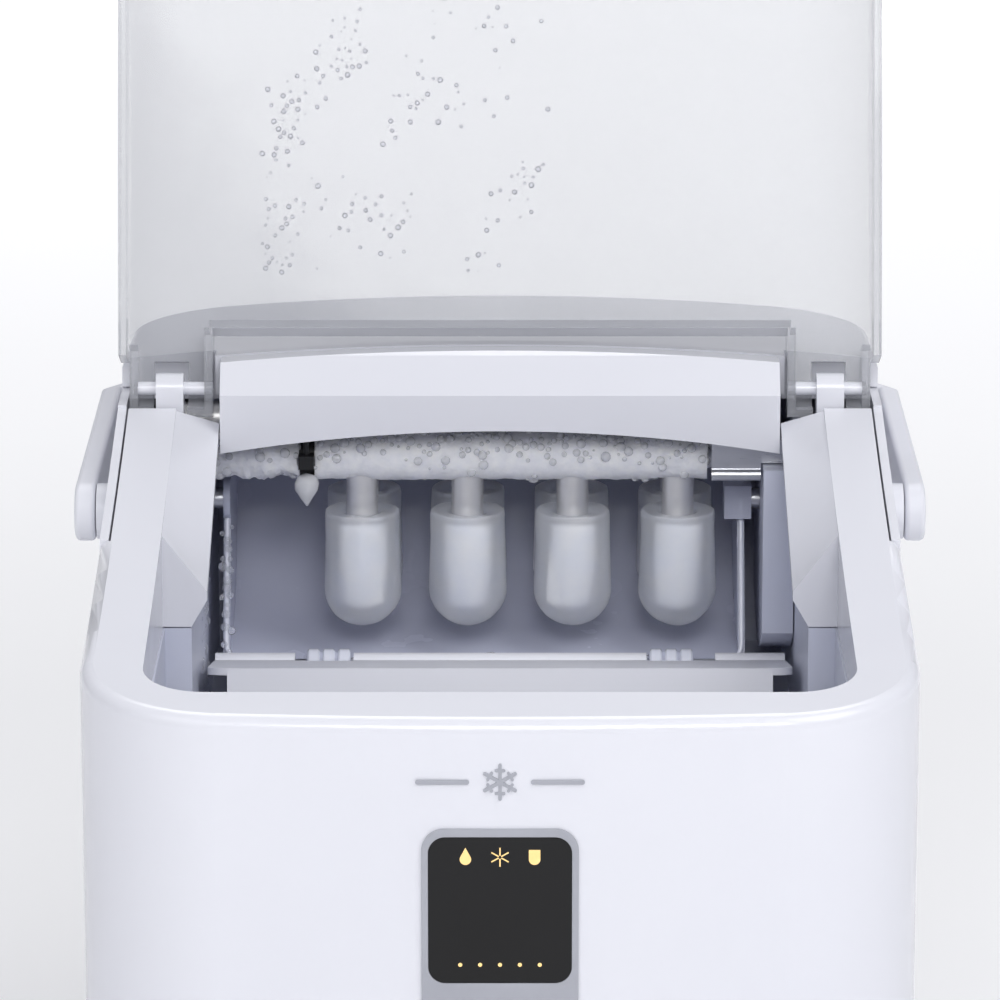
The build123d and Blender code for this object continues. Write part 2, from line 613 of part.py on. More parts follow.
with BuildPart() as water_tray:
    add(tray_full)
    add(trough_fill, mode=Mode.SUBTRACT)
    add(chute_fill, mode=Mode.SUBTRACT)
    add(rod(6.0, (TRAY_LEFT, TRAY_Y, TRAY_Z), (TRAY_LEFT + TRAY_T, TRAY_Y, TRAY_Z)))
    add(slab(66.5, 74.5, TRAY_Y - 5, TRAY_Y + 5, TRAY_Z - 5, TRAY_Z + 5))
    for ear_x in EAR_XS:
        ear_left, ear_right = ear_x - EAR_W / 2, ear_x + EAR_W / 2
        add(rod(3.4, (ear_left, FLAP_Y, FLAP_Z), (ear_right, FLAP_Y, FLAP_Z)))
        add(slab(ear_left, ear_right, FLAP_Y, LIP_Y + 4, FLAP_Z - 3.0, FLAP_Z - 0.6))
        hole = rod(FLAP_PIN_R + 0.04, (ear_x - 10, FLAP_Y, FLAP_Z), (ear_x + 10, FLAP_Y, FLAP_Z))
        add(hole, mode=Mode.SUBTRACT)
save(water_tray.part, "water_tray")

with BuildPart() as tray_shaft:
    add(rod(3.0, (-90.5, TRAY_Y, TRAY_Z), (TRAY_LEFT - 0.02, TRAY_Y, TRAY_Z)))
save(tray_shaft.part, "tray_pivot_pin")

with BuildPart() as drive_shaft:
    add(rod(3.0, (74.52, TRAY_Y, TRAY_Z), (92.0, TRAY_Y, TRAY_Z)))
save(drive_shaft.part, "tray_drive_shaft")

with BuildPart() as flap_flat:
    add(slab(-FLAP_HALF_W, FLAP_HALF_W, -FLAP_LEN, -1, -1, -1 + FLAP_T))
    fillet(flap_flat.edges().filter_by(Axis.Z).group_by(Axis.Y)[0], 8)
    add(slab(-78, 78, -FLAP_LEN, -FLAP_LEN + FLAP_T, -10, 0))
    add(rod(3.0, (-FLAP_HALF_W, 0, 0), (FLAP_HALF_W, 0, 0)))
    for ear_x in EAR_XS:
        notch_left = ear_x - EAR_W / 2 - (3.5 if ear_x < 0 else 0.8)
        notch_right = ear_x + EAR_W / 2 + (0.8 if ear_x < 0 else 6.5)
        add(slab(notch_left, notch_right, -7.5, 7, -8, 8), mode=Mode.SUBTRACT)
    add(rod(FLAP_PIN_R + 0.04, (-90, 0, 0), (90, 0, 0)), mode=Mode.SUBTRACT)
flap_tilted = flap_flat.part.rotate(Axis((0, 0, 0), (1, 0, 0)), -FLAP_RISE_DEG)
pusher_flap = Pos(0, FLAP_Y, FLAP_Z) * flap_tilted
save(pusher_flap, "pusher_flap")

with BuildPart() as flap_pin:
    add(rod(FLAP_PIN_R, (-FLAP_HALF_W + 1, FLAP_Y, FLAP_Z), (FLAP_HALF_W - 1, FLAP_Y, FLAP_Z)))
save(flap_pin.part, "flap_hinge_pin")

cover_round = rod(44.0, (77.0, TRAY_Y, TRAY_Z), (86.1, TRAY_Y, TRAY_Z))
with BuildPart() as motor_cover:
    add(cover_round & slab(77.0, 86.1, 40, 97.2, 202.5, 262))
    add(rod(4.0, (70, TRAY_Y, TRAY_Z), (90, TRAY_Y, TRAY_Z)), mode=Mode.SUBTRACT)
save(motor_cover.part, "tray_motor_cover")

with BuildPart() as tray_motor:
    add(slab(92.4, 106.5, TRAY_Y - 18, TRAY_Y + 18, TRAY_Z - 18, TRAY_Z + 18))
    add(rod(5.4, (88.9, TRAY_Y, TRAY_Z), (92.4, TRAY_Y, TRAY_Z)))
    add(rod(3.05, (88, TRAY_Y, TRAY_Z), (92.2, TRAY_Y, TRAY_Z)), mode=Mode.SUBTRACT)
save(tray_motor.part, "tray_motor")

# ------------------------------------------------------------------ basket
with BuildPart() as ice_basket:
    add(slab(-BASKET_HALF_W, BASKET_HALF_W, BASKET_FRONT, BASKET_BACK, BASKET_BOTTOM, BASKET_TOP))
    fillet(ice_basket.edges().filter_by(Axis.Z), 9)
    fillet(ice_basket.faces().sort_by(Axis.Z)[0].outer_wire().edges(), 4)
    offset(amount=-BASKET_T, openings=ice_basket.faces().sort_by(Axis.Z)[-1])
    for side in (-1, 1):
        add(side_slab(side, BASKET_HALF_W - 1, 91.5, BASKET_FRONT + 12, BASKET_BACK - 12, 203.3, 205.3))
    with BuildSketch(Plane.XZ.offset(160)):
        with Locations((0, 160)):
            with GridLocations(16, 40, 9, 2):
                SlotOverall(26, 5, rotation=90)
    extrude(amount=-140, mode=Mode.SUBTRACT)
    with BuildSketch(Plane.XY.offset(100)):
        with Locations((0, (BASKET_FRONT + BASKET_BACK) / 2)):
            with GridLocations(16, 30, 9, 2):
                SlotOverall(22, 5, rotation=90)
    extrude(amount=20, mode=Mode.SUBTRACT)
save(ice_basket.part, "ice_basket")

# ------------------------------------------------------------------ carry bail
with BuildPart() as carry_handle:
    with BuildSketch(Plane.XY.offset(BAIL_Z - BAIL_HALF_H)):
        with BuildLine():
            Polyline(
                (BAIL_OUT, BAIL_Y),
                (BAIL_OUT, 127),
                (97, REACH),
                (-97, REACH),
                (-BAIL_OUT, 127),
                (-BAIL_OUT, BAIL_Y),
                (-BAIL_IN, BAIL_Y),
                (-BAIL_IN, 129),
                (-95.3, BAIL_BACK_IN),
                (95.3, BAIL_BACK_IN),
                (BAIL_IN, 129),
                (BAIL_IN, BAIL_Y),
                close=True,
            )
        make_face()
    extrude(amount=2 * BAIL_HALF_H)
    for side in (-1, 1):
        add(rod(BAIL_HALF_H, (side * BAIL_IN, BAIL_Y, BAIL_Z), (side * BAIL_OUT, BAIL_Y, BAIL_Z)))
    outer_rails = carry_handle.edges().filter_by(
        lambda edge: edge.center().Y > BAIL_Y + 5 and abs(edge.tangent_at(0.5).Z) < 0.5
    )
    fillet(outer_rails, 1.6)
    for side in (-1, 1):
        hole = rod(BAIL_PIN_R + 0.06, (side * 110, BAIL_Y, BAIL_Z), (side * 125, BAIL_Y, BAIL_Z))
        add(hole, mode=Mode.SUBTRACT)
save(carry_handle.part, "carry_handle")

for side, name in ((-1, "left_bail_pivot"), (1, "right_bail_pivot")):
    with BuildPart() as bail_pivot:
        add(rod(8.0, (side * (HALF_W + 0.02), BAIL_Y, BAIL_Z), (side * 115.7, BAIL_Y, BAIL_Z)))
        add(rod(BAIL_PIN_R, (side * 105, BAIL_Y, BAIL_Z), (side * 121.4, BAIL_Y, BAIL_Z)))
        add(rod(7.0, (side * 105, BAIL_Y, BAIL_Z), (side * 108.6, BAIL_Y, BAIL_Z)))
    save(bail_pivot.part, name)

# ------------------------------------------------------------------ display, buttons, badge
def panel_plate(width, height, radius, y0, y1):
    """A rounded upright plate on the front panel between depths y0 and y1."""
    with BuildPart() as plate:
        with BuildSketch(Plane.XZ.offset(-y0)):
            with Locations((0, PANEL_Z)):
                RectangleRounded(width, height, radius)
        extrude(amount=y0 - y1)
    return plate.part


bezel_rim = panel_plate(PANEL_W, PANEL_H, PANEL_R, -REACH, Y_FRONT - 0.02)
bezel_body = panel_plate(PANEL_W - 2.0, PANEL_H - 2.0, PANEL_R - 1, Y_FRONT - 0.02, -157.5)
lens_place = Pos(0, 0, LENS_Z - PANEL_Z)
lens_block = lens_place * panel_plate(PANEL_W - 3.6, LENS_H, 4.4, -REACH + 0.1, -160.6)
lens_seat = lens_place * panel_plate(PANEL_W - 3.4, LENS_H + 0.2, 4.5, -REACH - 1, -160.58)

with BuildPart() as display_bezel:
    add(bezel_rim)
    add(bezel_body)
    add(lens_seat, mode=Mode.SUBTRACT)
    for x in (-BUTTON_X, BUTTON_X):
        add(rod(BUTTON_R + 0.1, (x, -170, BUTTON_Z), (x, -150, BUTTON_Z)), mode=Mode.SUBTRACT)
save(display_bezel.part, "display_bezel")
save(lens_block, "display_lens")

# Each stem stops short of its switch by the button's travel and a little more.
stem_end = BOARD_FACE - SWITCH_T - BUTTON_TRAVEL - KEY_GAP
for x, name in ((-BUTTON_X, "power_button"), (BUTTON_X, "select_button")):
    with BuildPart() as button:
        add(rod(BUTTON_R, (x, -REACH + 0.05, BUTTON_Z), (x, -156.9, BUTTON_Z)))
        fillet(button.faces().sort_by(Axis.Y)[0].edges(), 0.5)
        add(rod(BUTTON_R + 1.2, (x, -156.9, BUTTON_Z), (x, -155.6, BUTTON_Z)))
        add(rod(1.6, (x, -155.6, BUTTON_Z), (x, stem_end, BUTTON_Z)))
    save(button.part, name)

with BuildPart() as control_board:
    add(slab(-19, 19, BOARD_FACE, BOARD_FACE + 1.4, 158, 216))
    for x in (-BUTTON_X, BUTTON_X):
        add(slab(x - 2, x + 2, BOARD_FACE - SWITCH_T, BOARD_FACE, BUTTON_Z - 2, BUTTON_Z + 2))
save(control_board.part, "control_board")

with BuildPart() as badge:
    with BuildSketch(Plane((0, Y_FRONT - 0.02, BADGE_Z), x_dir=(1, 0, 0), z_dir=(0, -1, 0))):
        for turn in range(0, 180, 60):
            SlotOverall(2 * SNOW_ARM, SNOW_BAR, rotation=turn + 30)
        with PolarLocations(SNOW_ARM * 0.62, 6, start_angle=30):
            SlotOverall(2.8, SNOW_BAR * 0.8, rotation=90)
        with Locations((-15, 0), (15, 0)):
            SlotOverall(14, 1.2)
    extrude(amount=0.35)
save(badge.part, "snowflake_badge")

# ------------------------------------------------------------------ refrigeration
with BuildPart() as compressor:
    with Locations((COMPRESSOR_X, COMPRESSOR_Y, 66)):
        Cylinder(COMPRESSOR_R, 92)
    fillet(compressor.faces().sort_by(Axis.Z)[-1].edges(), 22)
    fillet(compressor.faces().sort_by(Axis.Z)[0].edges(), 12)
    add(slab(COMPRESSOR_X - 38, COMPRESSOR_X + 38, COMPRESSOR_Y - 38, COMPRESSOR_Y + 38, 19.4, 21.4))
save(compressor.part, "compressor")

with BuildPart() as grommets:
    with Locations((COMPRESSOR_X, COMPRESSOR_Y, 14.2)):
        with GridLocations(64, 64, 2, 2):
            Cylinder(6, 10.2)
save(grommets.part, "compressor_grommets")

with BuildPart() as terminal_cover:
    add(slab(COMPRESSOR_X - 14, COMPRESSOR_X + 14, 119.0, 130, 50, 84))
save(terminal_cover.part, "terminal_cover")

suction_points = [
    (-98.2, SUCTION_Y, SUCTION_Z),
    (RISER_X, SUCTION_Y, SUCTION_Z),
    (RISER_X, SUCTION_Y, 262),
    (RISER_X, 66, 150),
    (-66, 62, 130),
    (-66, 70, SHELL_TOP),
]
suction_line = pipe(suction_points, SUCTION_R, [4.5, 4.0, 20, 9])
save(suction_line, "suction_line")

hot_gas_points = [
    (-98.2, ROW_YS[0], TUBE_Z),
    (RISER_X, ROW_YS[0], TUBE_Z),
    (RISER_X, ROW_YS[0], 250),
    (RISER_X, 50, 160),
    (-40, 62, 140),
    (-40, 70, SHELL_TOP),
]
hot_gas_line = pipe(hot_gas_points, HOT_GAS_R, [4.0, 10, 25, 9])
save(hot_gas_line, "hot_gas_line")

with BuildPart() as condenser_fins:
    with BuildSketch(Plane.YZ.offset(-4)) as fin:
        with Locations((FIN_Y, FAN_Z)):
            Rectangle(FIN_DEPTH, FIN_HEIGHT)
        with Locations(*[(FIN_Y, z) for z in PASS_ZS]):
            Circle(COIL_R + 0.05, mode=Mode.SUBTRACT)
    for step in range(FIN_COUNT):
        add(Pos(FIN_PITCH * step, 0, 0) * extrude(fin.sketch, FIN_T, mode=Mode.PRIVATE))
save(condenser_fins.part, "condenser_fins")

# The coil runs right, drops a pass, runs back left, and so on.
coil_points = [(COIL_END, FIN_Y, PASS_ZS[0])]
for index, low_z in enumerate(PASS_ZS[:-1]):
    turn_x = COIL_RIGHT if index % 2 == 0 else COIL_LEFT
    coil_points.append((turn_x, FIN_Y, low_z))
    coil_points.append((turn_x, FIN_Y, PASS_ZS[index + 1]))
coil_points.append((COIL_END, FIN_Y, PASS_ZS[-1]))
condenser_coil = pipe(coil_points, COIL_R, 10.9)
save(condenser_coil, "condenser_coil")

with BuildPart() as fan_shroud:
    add(slab(FAN_X - 43, FAN_X + 43, 88, 90, FAN_Z - 45, FAN_Z + 45))
    add(rod(43, (FAN_X, 89, FAN_Z), (FAN_X, 106, FAN_Z)))
    add(rod(41, (FAN_X, 80, FAN_Z), (FAN_X, 110, FAN_Z)), mode=Mode.SUBTRACT)
    add(slab(FAN_X - 42, FAN_X + 42, 104, 106, FAN_Z - 3, FAN_Z + 3))
    add(rod(6, (FAN_X, 100, FAN_Z), (FAN_X, 110, FAN_Z)), mode=Mode.SUBTRACT)
save(fan_shroud.part, "fan_shroud")

with BuildPart() as fan_motor:
    add(rod(15, (FAN_X, 106.2, FAN_Z), (FAN_X, 122, FAN_Z)))
    add(rod(2.0, (FAN_X, 93, FAN_Z), (FAN_X, 106.2, FAN_Z)))
save(fan_motor.part, "fan_motor")

with BuildPart() as fan_blades:
    add(rod(11, (FAN_X, 92, FAN_Z), (FAN_X, 101, FAN_Z)))
    for blade in range(7):
        vane = Pos(0, 24, 0) * Rot(0, 35, 0) * Box(13, 28, 1.4, mode=Mode.PRIVATE)
        vane = Rot(0, 0, 360 / 7 * blade) * vane
        add(Pos(FAN_X, 96.5, FAN_Z) * Rot(90, 0, 0) * vane)
    add(rod(2.05, (FAN_X, 80, FAN_Z), (FAN_X, 110, FAN_Z)), mode=Mode.SUBTRACT)
save(fan_blades.part, "fan_blades")

with BuildPart() as filter_drier:
    add(rod(8, (-20, 40, 140), (-20, 96, 140)))
    fillet(filter_drier.edges(), 5)
save(filter_drier.part, "filter_drier")

with BuildPart() as hot_gas_valve:
    add(slab(0, 22, 24, 46, 150, 172))
    add(rod(4, (11, 35, 140), (11, 35, 150)))
save(hot_gas_valve.part, "hot_gas_valve")

# ------------------------------------------------------------------ water circuit
with BuildPart() as water_pump:
    add(rod(17, (PUMP_X, PUMP_Y, 12), (PUMP_X, PUMP_Y, 44)))
    add(rod(3.6, (PUMP_X, PUMP_Y, 44), (PUMP_X, PUMP_Y, 57.8)))
    add(slab(PUMP_X - 20, PUMP_X + 20, PUMP_Y - 12, PUMP_Y + 12, 9.02, 12))
save(water_pump.part, "water_pump")

hose_points = [
    (PUMP_X - 17, PUMP_Y, 30),
    (10, PUMP_Y, 30),
    (-60, -10, 36),
    (RISER_X + 2, 24, 60),
    (RISER_X + 2, 90, 120),
    (RISER_X + 2, SPOUT_Y, SPOUT_Z),
    (-90, SPOUT_Y, SPOUT_Z),
]
water_hose = pipe(hose_points, HOSE_R, [20, 25, 25, 30, 9])
save(water_hose, "water_hose")

spout_points = [(-89.9, SPOUT_Y, SPOUT_Z), (-77, SPOUT_Y, SPOUT_Z), (-77, SPOUT_Y, 268)]
fill_spout = pipe(spout_points, 3.2, 4.0)
save(fill_spout, "fill_spout")

with BuildPart() as drain:
    add(rod(5.0, (70, DRAIN_Y, 40), (70, DRAIN_Y, 59)))
    add(rod(5.0, (70, DRAIN_Y, DRAIN_Z), (112.5, DRAIN_Y, DRAIN_Z)))
    add(rod(9.2, (104, DRAIN_Y, DRAIN_Z), (112.0, DRAIN_Y, DRAIN_Z)))
    add(rod(3.5, (80, DRAIN_Y, DRAIN_Z), (120, DRAIN_Y, DRAIN_Z)), mode=Mode.SUBTRACT)
save(drain.part, "drain_outlet")

with BuildPart() as drain_cap:
    add(rod(8.0, (113.0, DRAIN_Y, DRAIN_Z), (117.5, DRAIN_Y, DRAIN_Z)))
    add(rod(3.3, (106.0, DRAIN_Y, DRAIN_Z), (113.0, DRAIN_Y, DRAIN_Z)))
save(drain_cap.part, "drain_cap")

with BuildPart() as level_sensor:
    add(slab(-60, -40, CHAMBER_FRONT - 7, CHAMBER_FRONT - 0.02, 76, 92))
save(level_sensor.part, "water_level_sensor")

for side, name in ((-1, "ice_full_emitter"), (1, "ice_full_receiver")):
    with BuildPart() as eye:
        add(side_slab(side, 90.0, TANK_HALF_W - 0.02, -47, -39, 208, 218))
    save(eye.part, name)

# ------------------------------------------------------------------ electrics
with BuildPart() as power_board:
    add(slab(-106, -104.4, -20, 30, 80, 160))
    for y in (-10, 4, 18):
        add(slab(-104.4, -98, y - 4, y + 4, 100, 118))
save(power_board.part, "power_board")

with BuildPart() as mains_inlet:
    add(slab(INLET_X - 16, INLET_X + 16, Y_BACK + 0.02, Y_BACK + 2.0, INLET_Z - 13, INLET_Z + 13))
    add(slab(INLET_X - 14, INLET_X + 14, 134, Y_BACK + 0.02, INLET_Z - 10.5, INLET_Z + 10.5))
    add(slab(INLET_X - 11.5, INLET_X + 11.5, 137, 150, INLET_Z - 8, INLET_Z + 8), mode=Mode.SUBTRACT)
    for x in (-7, 0, 7):
        add(slab(INLET_X + x - 1, INLET_X + x + 1, 136, 143, INLET_Z - 2.5, INLET_Z + 2.5))
save(mains_inlet.part, "mains_inlet")
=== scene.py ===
import json
import math

import bmesh
import bpy
from mathutils import Matrix, Vector, noise
from mathutils.bvhtree import BVHTree

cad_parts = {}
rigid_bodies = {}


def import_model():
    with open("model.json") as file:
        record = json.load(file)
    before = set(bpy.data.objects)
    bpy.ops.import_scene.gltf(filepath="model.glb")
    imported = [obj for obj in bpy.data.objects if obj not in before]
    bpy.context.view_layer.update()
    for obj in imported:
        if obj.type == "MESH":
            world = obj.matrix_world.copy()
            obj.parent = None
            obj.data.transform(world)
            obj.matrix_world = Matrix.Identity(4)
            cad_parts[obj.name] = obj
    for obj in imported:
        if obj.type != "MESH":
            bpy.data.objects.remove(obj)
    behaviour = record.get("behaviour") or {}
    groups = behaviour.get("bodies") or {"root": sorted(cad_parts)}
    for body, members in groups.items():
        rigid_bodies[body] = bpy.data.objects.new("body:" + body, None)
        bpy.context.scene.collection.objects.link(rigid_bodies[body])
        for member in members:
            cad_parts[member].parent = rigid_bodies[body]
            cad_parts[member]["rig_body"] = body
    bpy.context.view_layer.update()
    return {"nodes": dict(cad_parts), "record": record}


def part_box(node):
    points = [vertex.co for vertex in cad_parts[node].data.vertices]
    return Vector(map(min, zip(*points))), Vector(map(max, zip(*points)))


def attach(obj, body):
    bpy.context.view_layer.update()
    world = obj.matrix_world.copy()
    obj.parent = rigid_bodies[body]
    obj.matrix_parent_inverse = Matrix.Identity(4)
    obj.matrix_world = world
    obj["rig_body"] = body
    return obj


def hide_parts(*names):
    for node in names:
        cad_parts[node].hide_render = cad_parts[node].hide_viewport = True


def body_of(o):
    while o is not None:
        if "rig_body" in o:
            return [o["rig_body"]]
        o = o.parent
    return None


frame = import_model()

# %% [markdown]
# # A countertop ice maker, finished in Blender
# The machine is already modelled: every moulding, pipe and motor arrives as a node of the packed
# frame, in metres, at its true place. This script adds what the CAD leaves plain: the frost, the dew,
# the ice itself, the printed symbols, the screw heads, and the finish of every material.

nodes = frame["nodes"]

# %% [markdown]
# ## Camera
# A long lens from well back keeps upright walls upright. The camera stands straight in front and
# looks down by 15 degrees, so that the open mouth of the machine is in view.

# %% Camera in front, 15 degrees above level
LOOK_DOWN = math.radians(15)
AIM = Vector((0, -0.120, 0.252))
STAND_OFF, AIM_RAISE = 1.530, 0.0425
FOCAL_MM, SENSOR_MM = 207.5, 36.0
looking = Vector((0, math.cos(LOOK_DOWN), -math.sin(LOOK_DOWN)))
upward = Vector((0, math.sin(LOOK_DOWN), math.cos(LOOK_DOWN)))

camera_data = bpy.data.cameras.new("front_camera")
camera_data.lens = FOCAL_MM
camera_data.sensor_width = SENSOR_MM
camera = bpy.data.objects.new("front_camera", camera_data)
camera.location = AIM - looking * STAND_OFF + upward * AIM_RAISE
camera.rotation_euler = (math.pi / 2 - LOOK_DOWN, 0, 0)
bpy.context.scene.collection.objects.link(camera)
bpy.context.scene.camera = camera
print("camera at", [round(v, 3) for v in camera.location])

# %% [markdown]
# ## Helpers for finishes
# A finish is a tree of shader nodes. Two small functions are enough to build every one: the first
# turns a colour as a designer writes it (sRGB, two hex digits a channel) into the linear light that
# the shader works in, and the second adds any node with its settings and links.

# %% Colour and node helpers
def linear(hex_colour):
    """A hex sRGB colour as linear red, green, blue and an alpha of 1."""
    channels = [int(hex_colour[i:i + 2], 16) / 255 for i in (0, 2, 4)]
    return tuple(c / 12.92 if c <= 0.04045 else ((c + 0.055) / 1.055) ** 2.4 for c in channels) + (1.0,)


def add_node(tree, kind, settings=None, links=None):
    """Adds one node. Settings are input values or attributes, links are the sockets that feed it."""
    node = tree.nodes.new(kind)
    for name, value in (settings or {}).items():
        if isinstance(name, int) or name in node.inputs:
            node.inputs[name].default_value = value
        else:
            setattr(node, name, value)
    for name, socket in (links or {}).items():
        tree.links.new(socket, node.inputs[name])
    return node


def per_mm(size):
    """The noise scale that gives a pattern about this many millimetres across."""
    return 1000.0 / size


# %% A blank finish: shader, output and the object's own coordinates
def blank_finish(name, **shader):
    """Returns the material, its tree, the shader node and a socket with object coordinates."""
    material = bpy.data.materials.new(name)
    material.use_nodes = True
    tree = material.node_tree
    tree.nodes.clear()
    settings = {key.replace("_", " "): value for key, value in shader.items()}
    surface = add_node(tree, "ShaderNodeBsdfPrincipled", settings)
    add_node(tree, "ShaderNodeOutputMaterial", links={"Surface": surface.outputs[0]})
    place = add_node(tree, "ShaderNodeTexCoord").outputs["Object"]
    return material, tree, surface, place


def mottle(tree, place, socket, size, low, high, detail=3.0):
    """Lets a colour or a number drift between two values over patches of a size in mm."""
    cloud = add_node(tree, "ShaderNodeTexNoise", {"Scale": per_mm(size), "Detail": detail}, {"Vector": place})
    if isinstance(low, str):
        ramp = add_node(tree, "ShaderNodeValToRGB", links={"Fac": cloud.outputs["Fac"]})
        ramp.color_ramp.elements[0].position, ramp.color_ramp.elements[0].color = 0.1, linear(low)
        ramp.color_ramp.elements[1].position, ramp.color_ramp.elements[1].color = 0.9, linear(high)
        tree.links.new(ramp.outputs["Color"], socket)
    else:
        span = {"From Min": 0.1, "From Max": 0.9, "To Min": low, "To Max": high}
        level = add_node(tree, "ShaderNodeMapRange", span, {"Value": cloud.outputs["Fac"]})
        tree.links.new(level.outputs["Result"], socket)
    return cloud


def grain(tree, place, surface, size, depth, detail=2.0):
    """Raises a fine relief of a size in mm and a depth in metres on the shader's normal."""
    cloud = add_node(tree, "ShaderNodeTexNoise", {"Scale": per_mm(size), "Detail": detail}, {"Vector": place})
    bump = add_node(tree, "ShaderNodeBump", {"Distance": depth, "Strength": 1.0},
                    {"Height": cloud.outputs["Fac"]})
    tree.links.new(bump.outputs["Normal"], surface.inputs["Normal"])
    return bump


# %% [markdown]
# ## Moulded plastics
# Most of what shows is injection-moulded plastic, and each one tells its own story in the gloss: the
# outer shell comes from a polished tool, the handle from a finely etched one, and the liner is formed
# from sheet. All of them share one recipe: a colour that drifts a little over some centimetres, gloss
# that drifts too, and a faint skin relief. Only the numbers differ.

# %% The moulded recipe
def moulded(name, dark, light, gloss, patch, skin, depth, **shader):
    """A moulded plastic: two close colours, a range of roughness, and a skin relief in mm and metres."""
    material, tree, surface, place = blank_finish(name, **shader)
    mottle(tree, place, surface.inputs["Base Color"], patch, dark, light)
    mottle(tree, place, surface.inputs["Roughness"], patch * 0.3, *gloss)
    grain(tree, place, surface, skin, depth)
    return material


finishes = {
    # ABS from a polished tool: the eye gets a clean white with soft-edged reflections, never a mirror.
    "abs_white": moulded("abs_polished_mould", "DFE0E8", "E3E4EB", (0.22, 0.28), 90, 6.0, 0.000006,
                         Coat_Weight=0.25, Coat_Roughness=0.12, IOR=1.53),
    # Polypropylene from a finely etched tool: a duller white whose highlights spread.
    "abs_light": moulded("polypropylene_etched_mould", "DCDDE5", "E3E4EA", (0.38, 0.48), 60, 0.9, 0.00001,
                         IOR=1.49),
    # HIPS sheet drawn into the tank: a cooler, greyer skin, faintly rippled by the forming.
    "liner_grey": moulded("hips_vacuum_formed", "C6CADB", "D2D5E3", (0.30, 0.44), 50, 8.0, 0.00004,
                          IOR=1.57),
    # Black nylon: dark, with a fine satin grain.
    "black_plastic": moulded("nylon_black_moulded", "0B0B0D", "17171A", (0.40, 0.55), 12, 0.6, 0.00004),
    # Rubber: the dullest black on the machine, dusted with grey.
    "rubber": moulded("rubber_moulded", "18181A", "26262A", (0.70, 0.85), 8, 0.8, 0.00006),
    # ABS tinted light grey for the frame round the display: satin.
    "bezel_grey": moulded("abs_satin_grey", "9FA1AA", "ABADB6", (0.26, 0.36), 15, 0.8, 0.00002,
                          Coat_Weight=0.2, Coat_Roughness=0.2),
    # Infrared-clear plastic over the sensors: glossy and almost black, with a hint of red.
    "sensor_dark": moulded("polycarbonate_infrared", "0E0A10", "1A0E14", (0.08, 0.16), 5, 2.0, 0.00001,
                           Coat_Weight=0.6, Coat_Roughness=0.05),
    # Expanded polystyrene: matt, with the beads showing as 3 mm lumps.
    "foam": moulded("polystyrene_expanded", "E4E4DF", "F3F3EF", (0.80, 0.95), 6, 3.0, 0.0005),
    # Baked enamel on the compressor's steel shell: black with a wet look over slight orange peel.
    "black_paint": moulded("steel_black_enamel", "08080A", "111114", (0.18, 0.30), 25, 2.5, 0.00006,
                           Coat_Weight=0.5, Coat_Roughness=0.1),
}
print("moulded finishes", len(finishes))

# %% [markdown]
# ## Clear parts
# The lid is a clear shell and the tray is tinted smoky blue. Real refraction would be the obvious
# choice, but thin clear plastic hardly bends light: it veils what is behind it, mirrors a little, and
# turns opaque where the wall is seen on edge. Alpha that follows the viewing angle does just that, and
# it also lets light fall through to the parts behind.

# %% Lid and tray plastics
def clear_shell(name, dark, light, face_alpha, edge_alpha, gloss, blend=0.35):
    """A thin see-through plastic: faint when faced, dense when seen on edge."""
    material, tree, surface, place = blank_finish(name, IOR=1.57, Specular_IOR_Level=0.3)
    mottle(tree, place, surface.inputs["Base Color"], 50, dark, light)
    mottle(tree, place, surface.inputs["Roughness"], 20, *gloss)
    facing = add_node(tree, "ShaderNodeLayerWeight", {"Blend": blend})
    span = {"To Min": face_alpha, "To Max": edge_alpha}
    veil = add_node(tree, "ShaderNodeMapRange", span, {"Value": facing.outputs["Facing"]})
    tree.links.new(veil.outputs["Result"], surface.inputs["Alpha"])
    grain(tree, place, surface, 18.0, 0.00004)
    return material


# SAN plastic, moulded clear: a light grey veil with sharp reflections and bright edges.
finishes["clear_lid"] = clear_shell("san_clear_moulded", "B8BAC0", "C0C2C8", 0.37, 0.85, (0.05, 0.09))
# Polycarbonate tinted smoke-blue and lightly etched: darker, softer, still see-through.
finishes["tray_smoke"] = clear_shell("polycarbonate_smoke", "D2D6EA", "DADDF0", 0.62, 0.95, (0.22, 0.30))

# %% [markdown]
# ## Metals
# Copper lines, nickel-plated fingers, stainless brackets and aluminium fins. A metal shows how it was
# worked: drawn tube has lines along it, a turned or plated finger has rings, sheet has a rolling
# grain. Noise stretched hard in one direction draws those lines.

# %% The worked-metal recipe
def worked_metal(name, dark, light, gloss, stretch, line=0.25, depth=0.000006, patch=14):
    """A metal whose brushing lines are `line` mm apart and run along the axis with the low stretch."""
    material, tree, surface, place = blank_finish(name, Metallic=1.0)
    mottle(tree, place, surface.inputs["Base Color"], patch, dark, light)
    turned = add_node(tree, "ShaderNodeMapping", {"Scale": stretch}, {"Vector": place})
    lines = mottle(tree, turned.outputs["Vector"], surface.inputs["Roughness"], line, *gloss)
    bump = add_node(tree, "ShaderNodeBump", {"Distance": depth}, {"Height": lines.outputs["Fac"]})
    tree.links.new(bump.outputs["Normal"], surface.inputs["Normal"])
    return material


# Nickel plate on copper: warm silver, with rings round each finger. The lines are drawn a few times
# coarser than real ones, or they would not show.
finishes["nickel"] = worked_metal("nickel_plated_copper", "E6E5E4", "FAF9F8", (0.34, 0.58),
                                  (0.15, 0.15, 1.0), 0.9)
# Stainless strip, rolled bright: cool silver, lines along X.
finishes["stainless"] = worked_metal("stainless_rolled", "CFD0D5", "E2E3E7", (0.22, 0.42),
                                     (0.04, 1.0, 1.0), 0.5)
# Drawn copper: salmon pink, browned where hands and heat have been.
finishes["copper"] = worked_metal("copper_drawn", "8A4A32", "C97F5E", (0.22, 0.45), (1.0, 1.0, 0.1), 0.6)
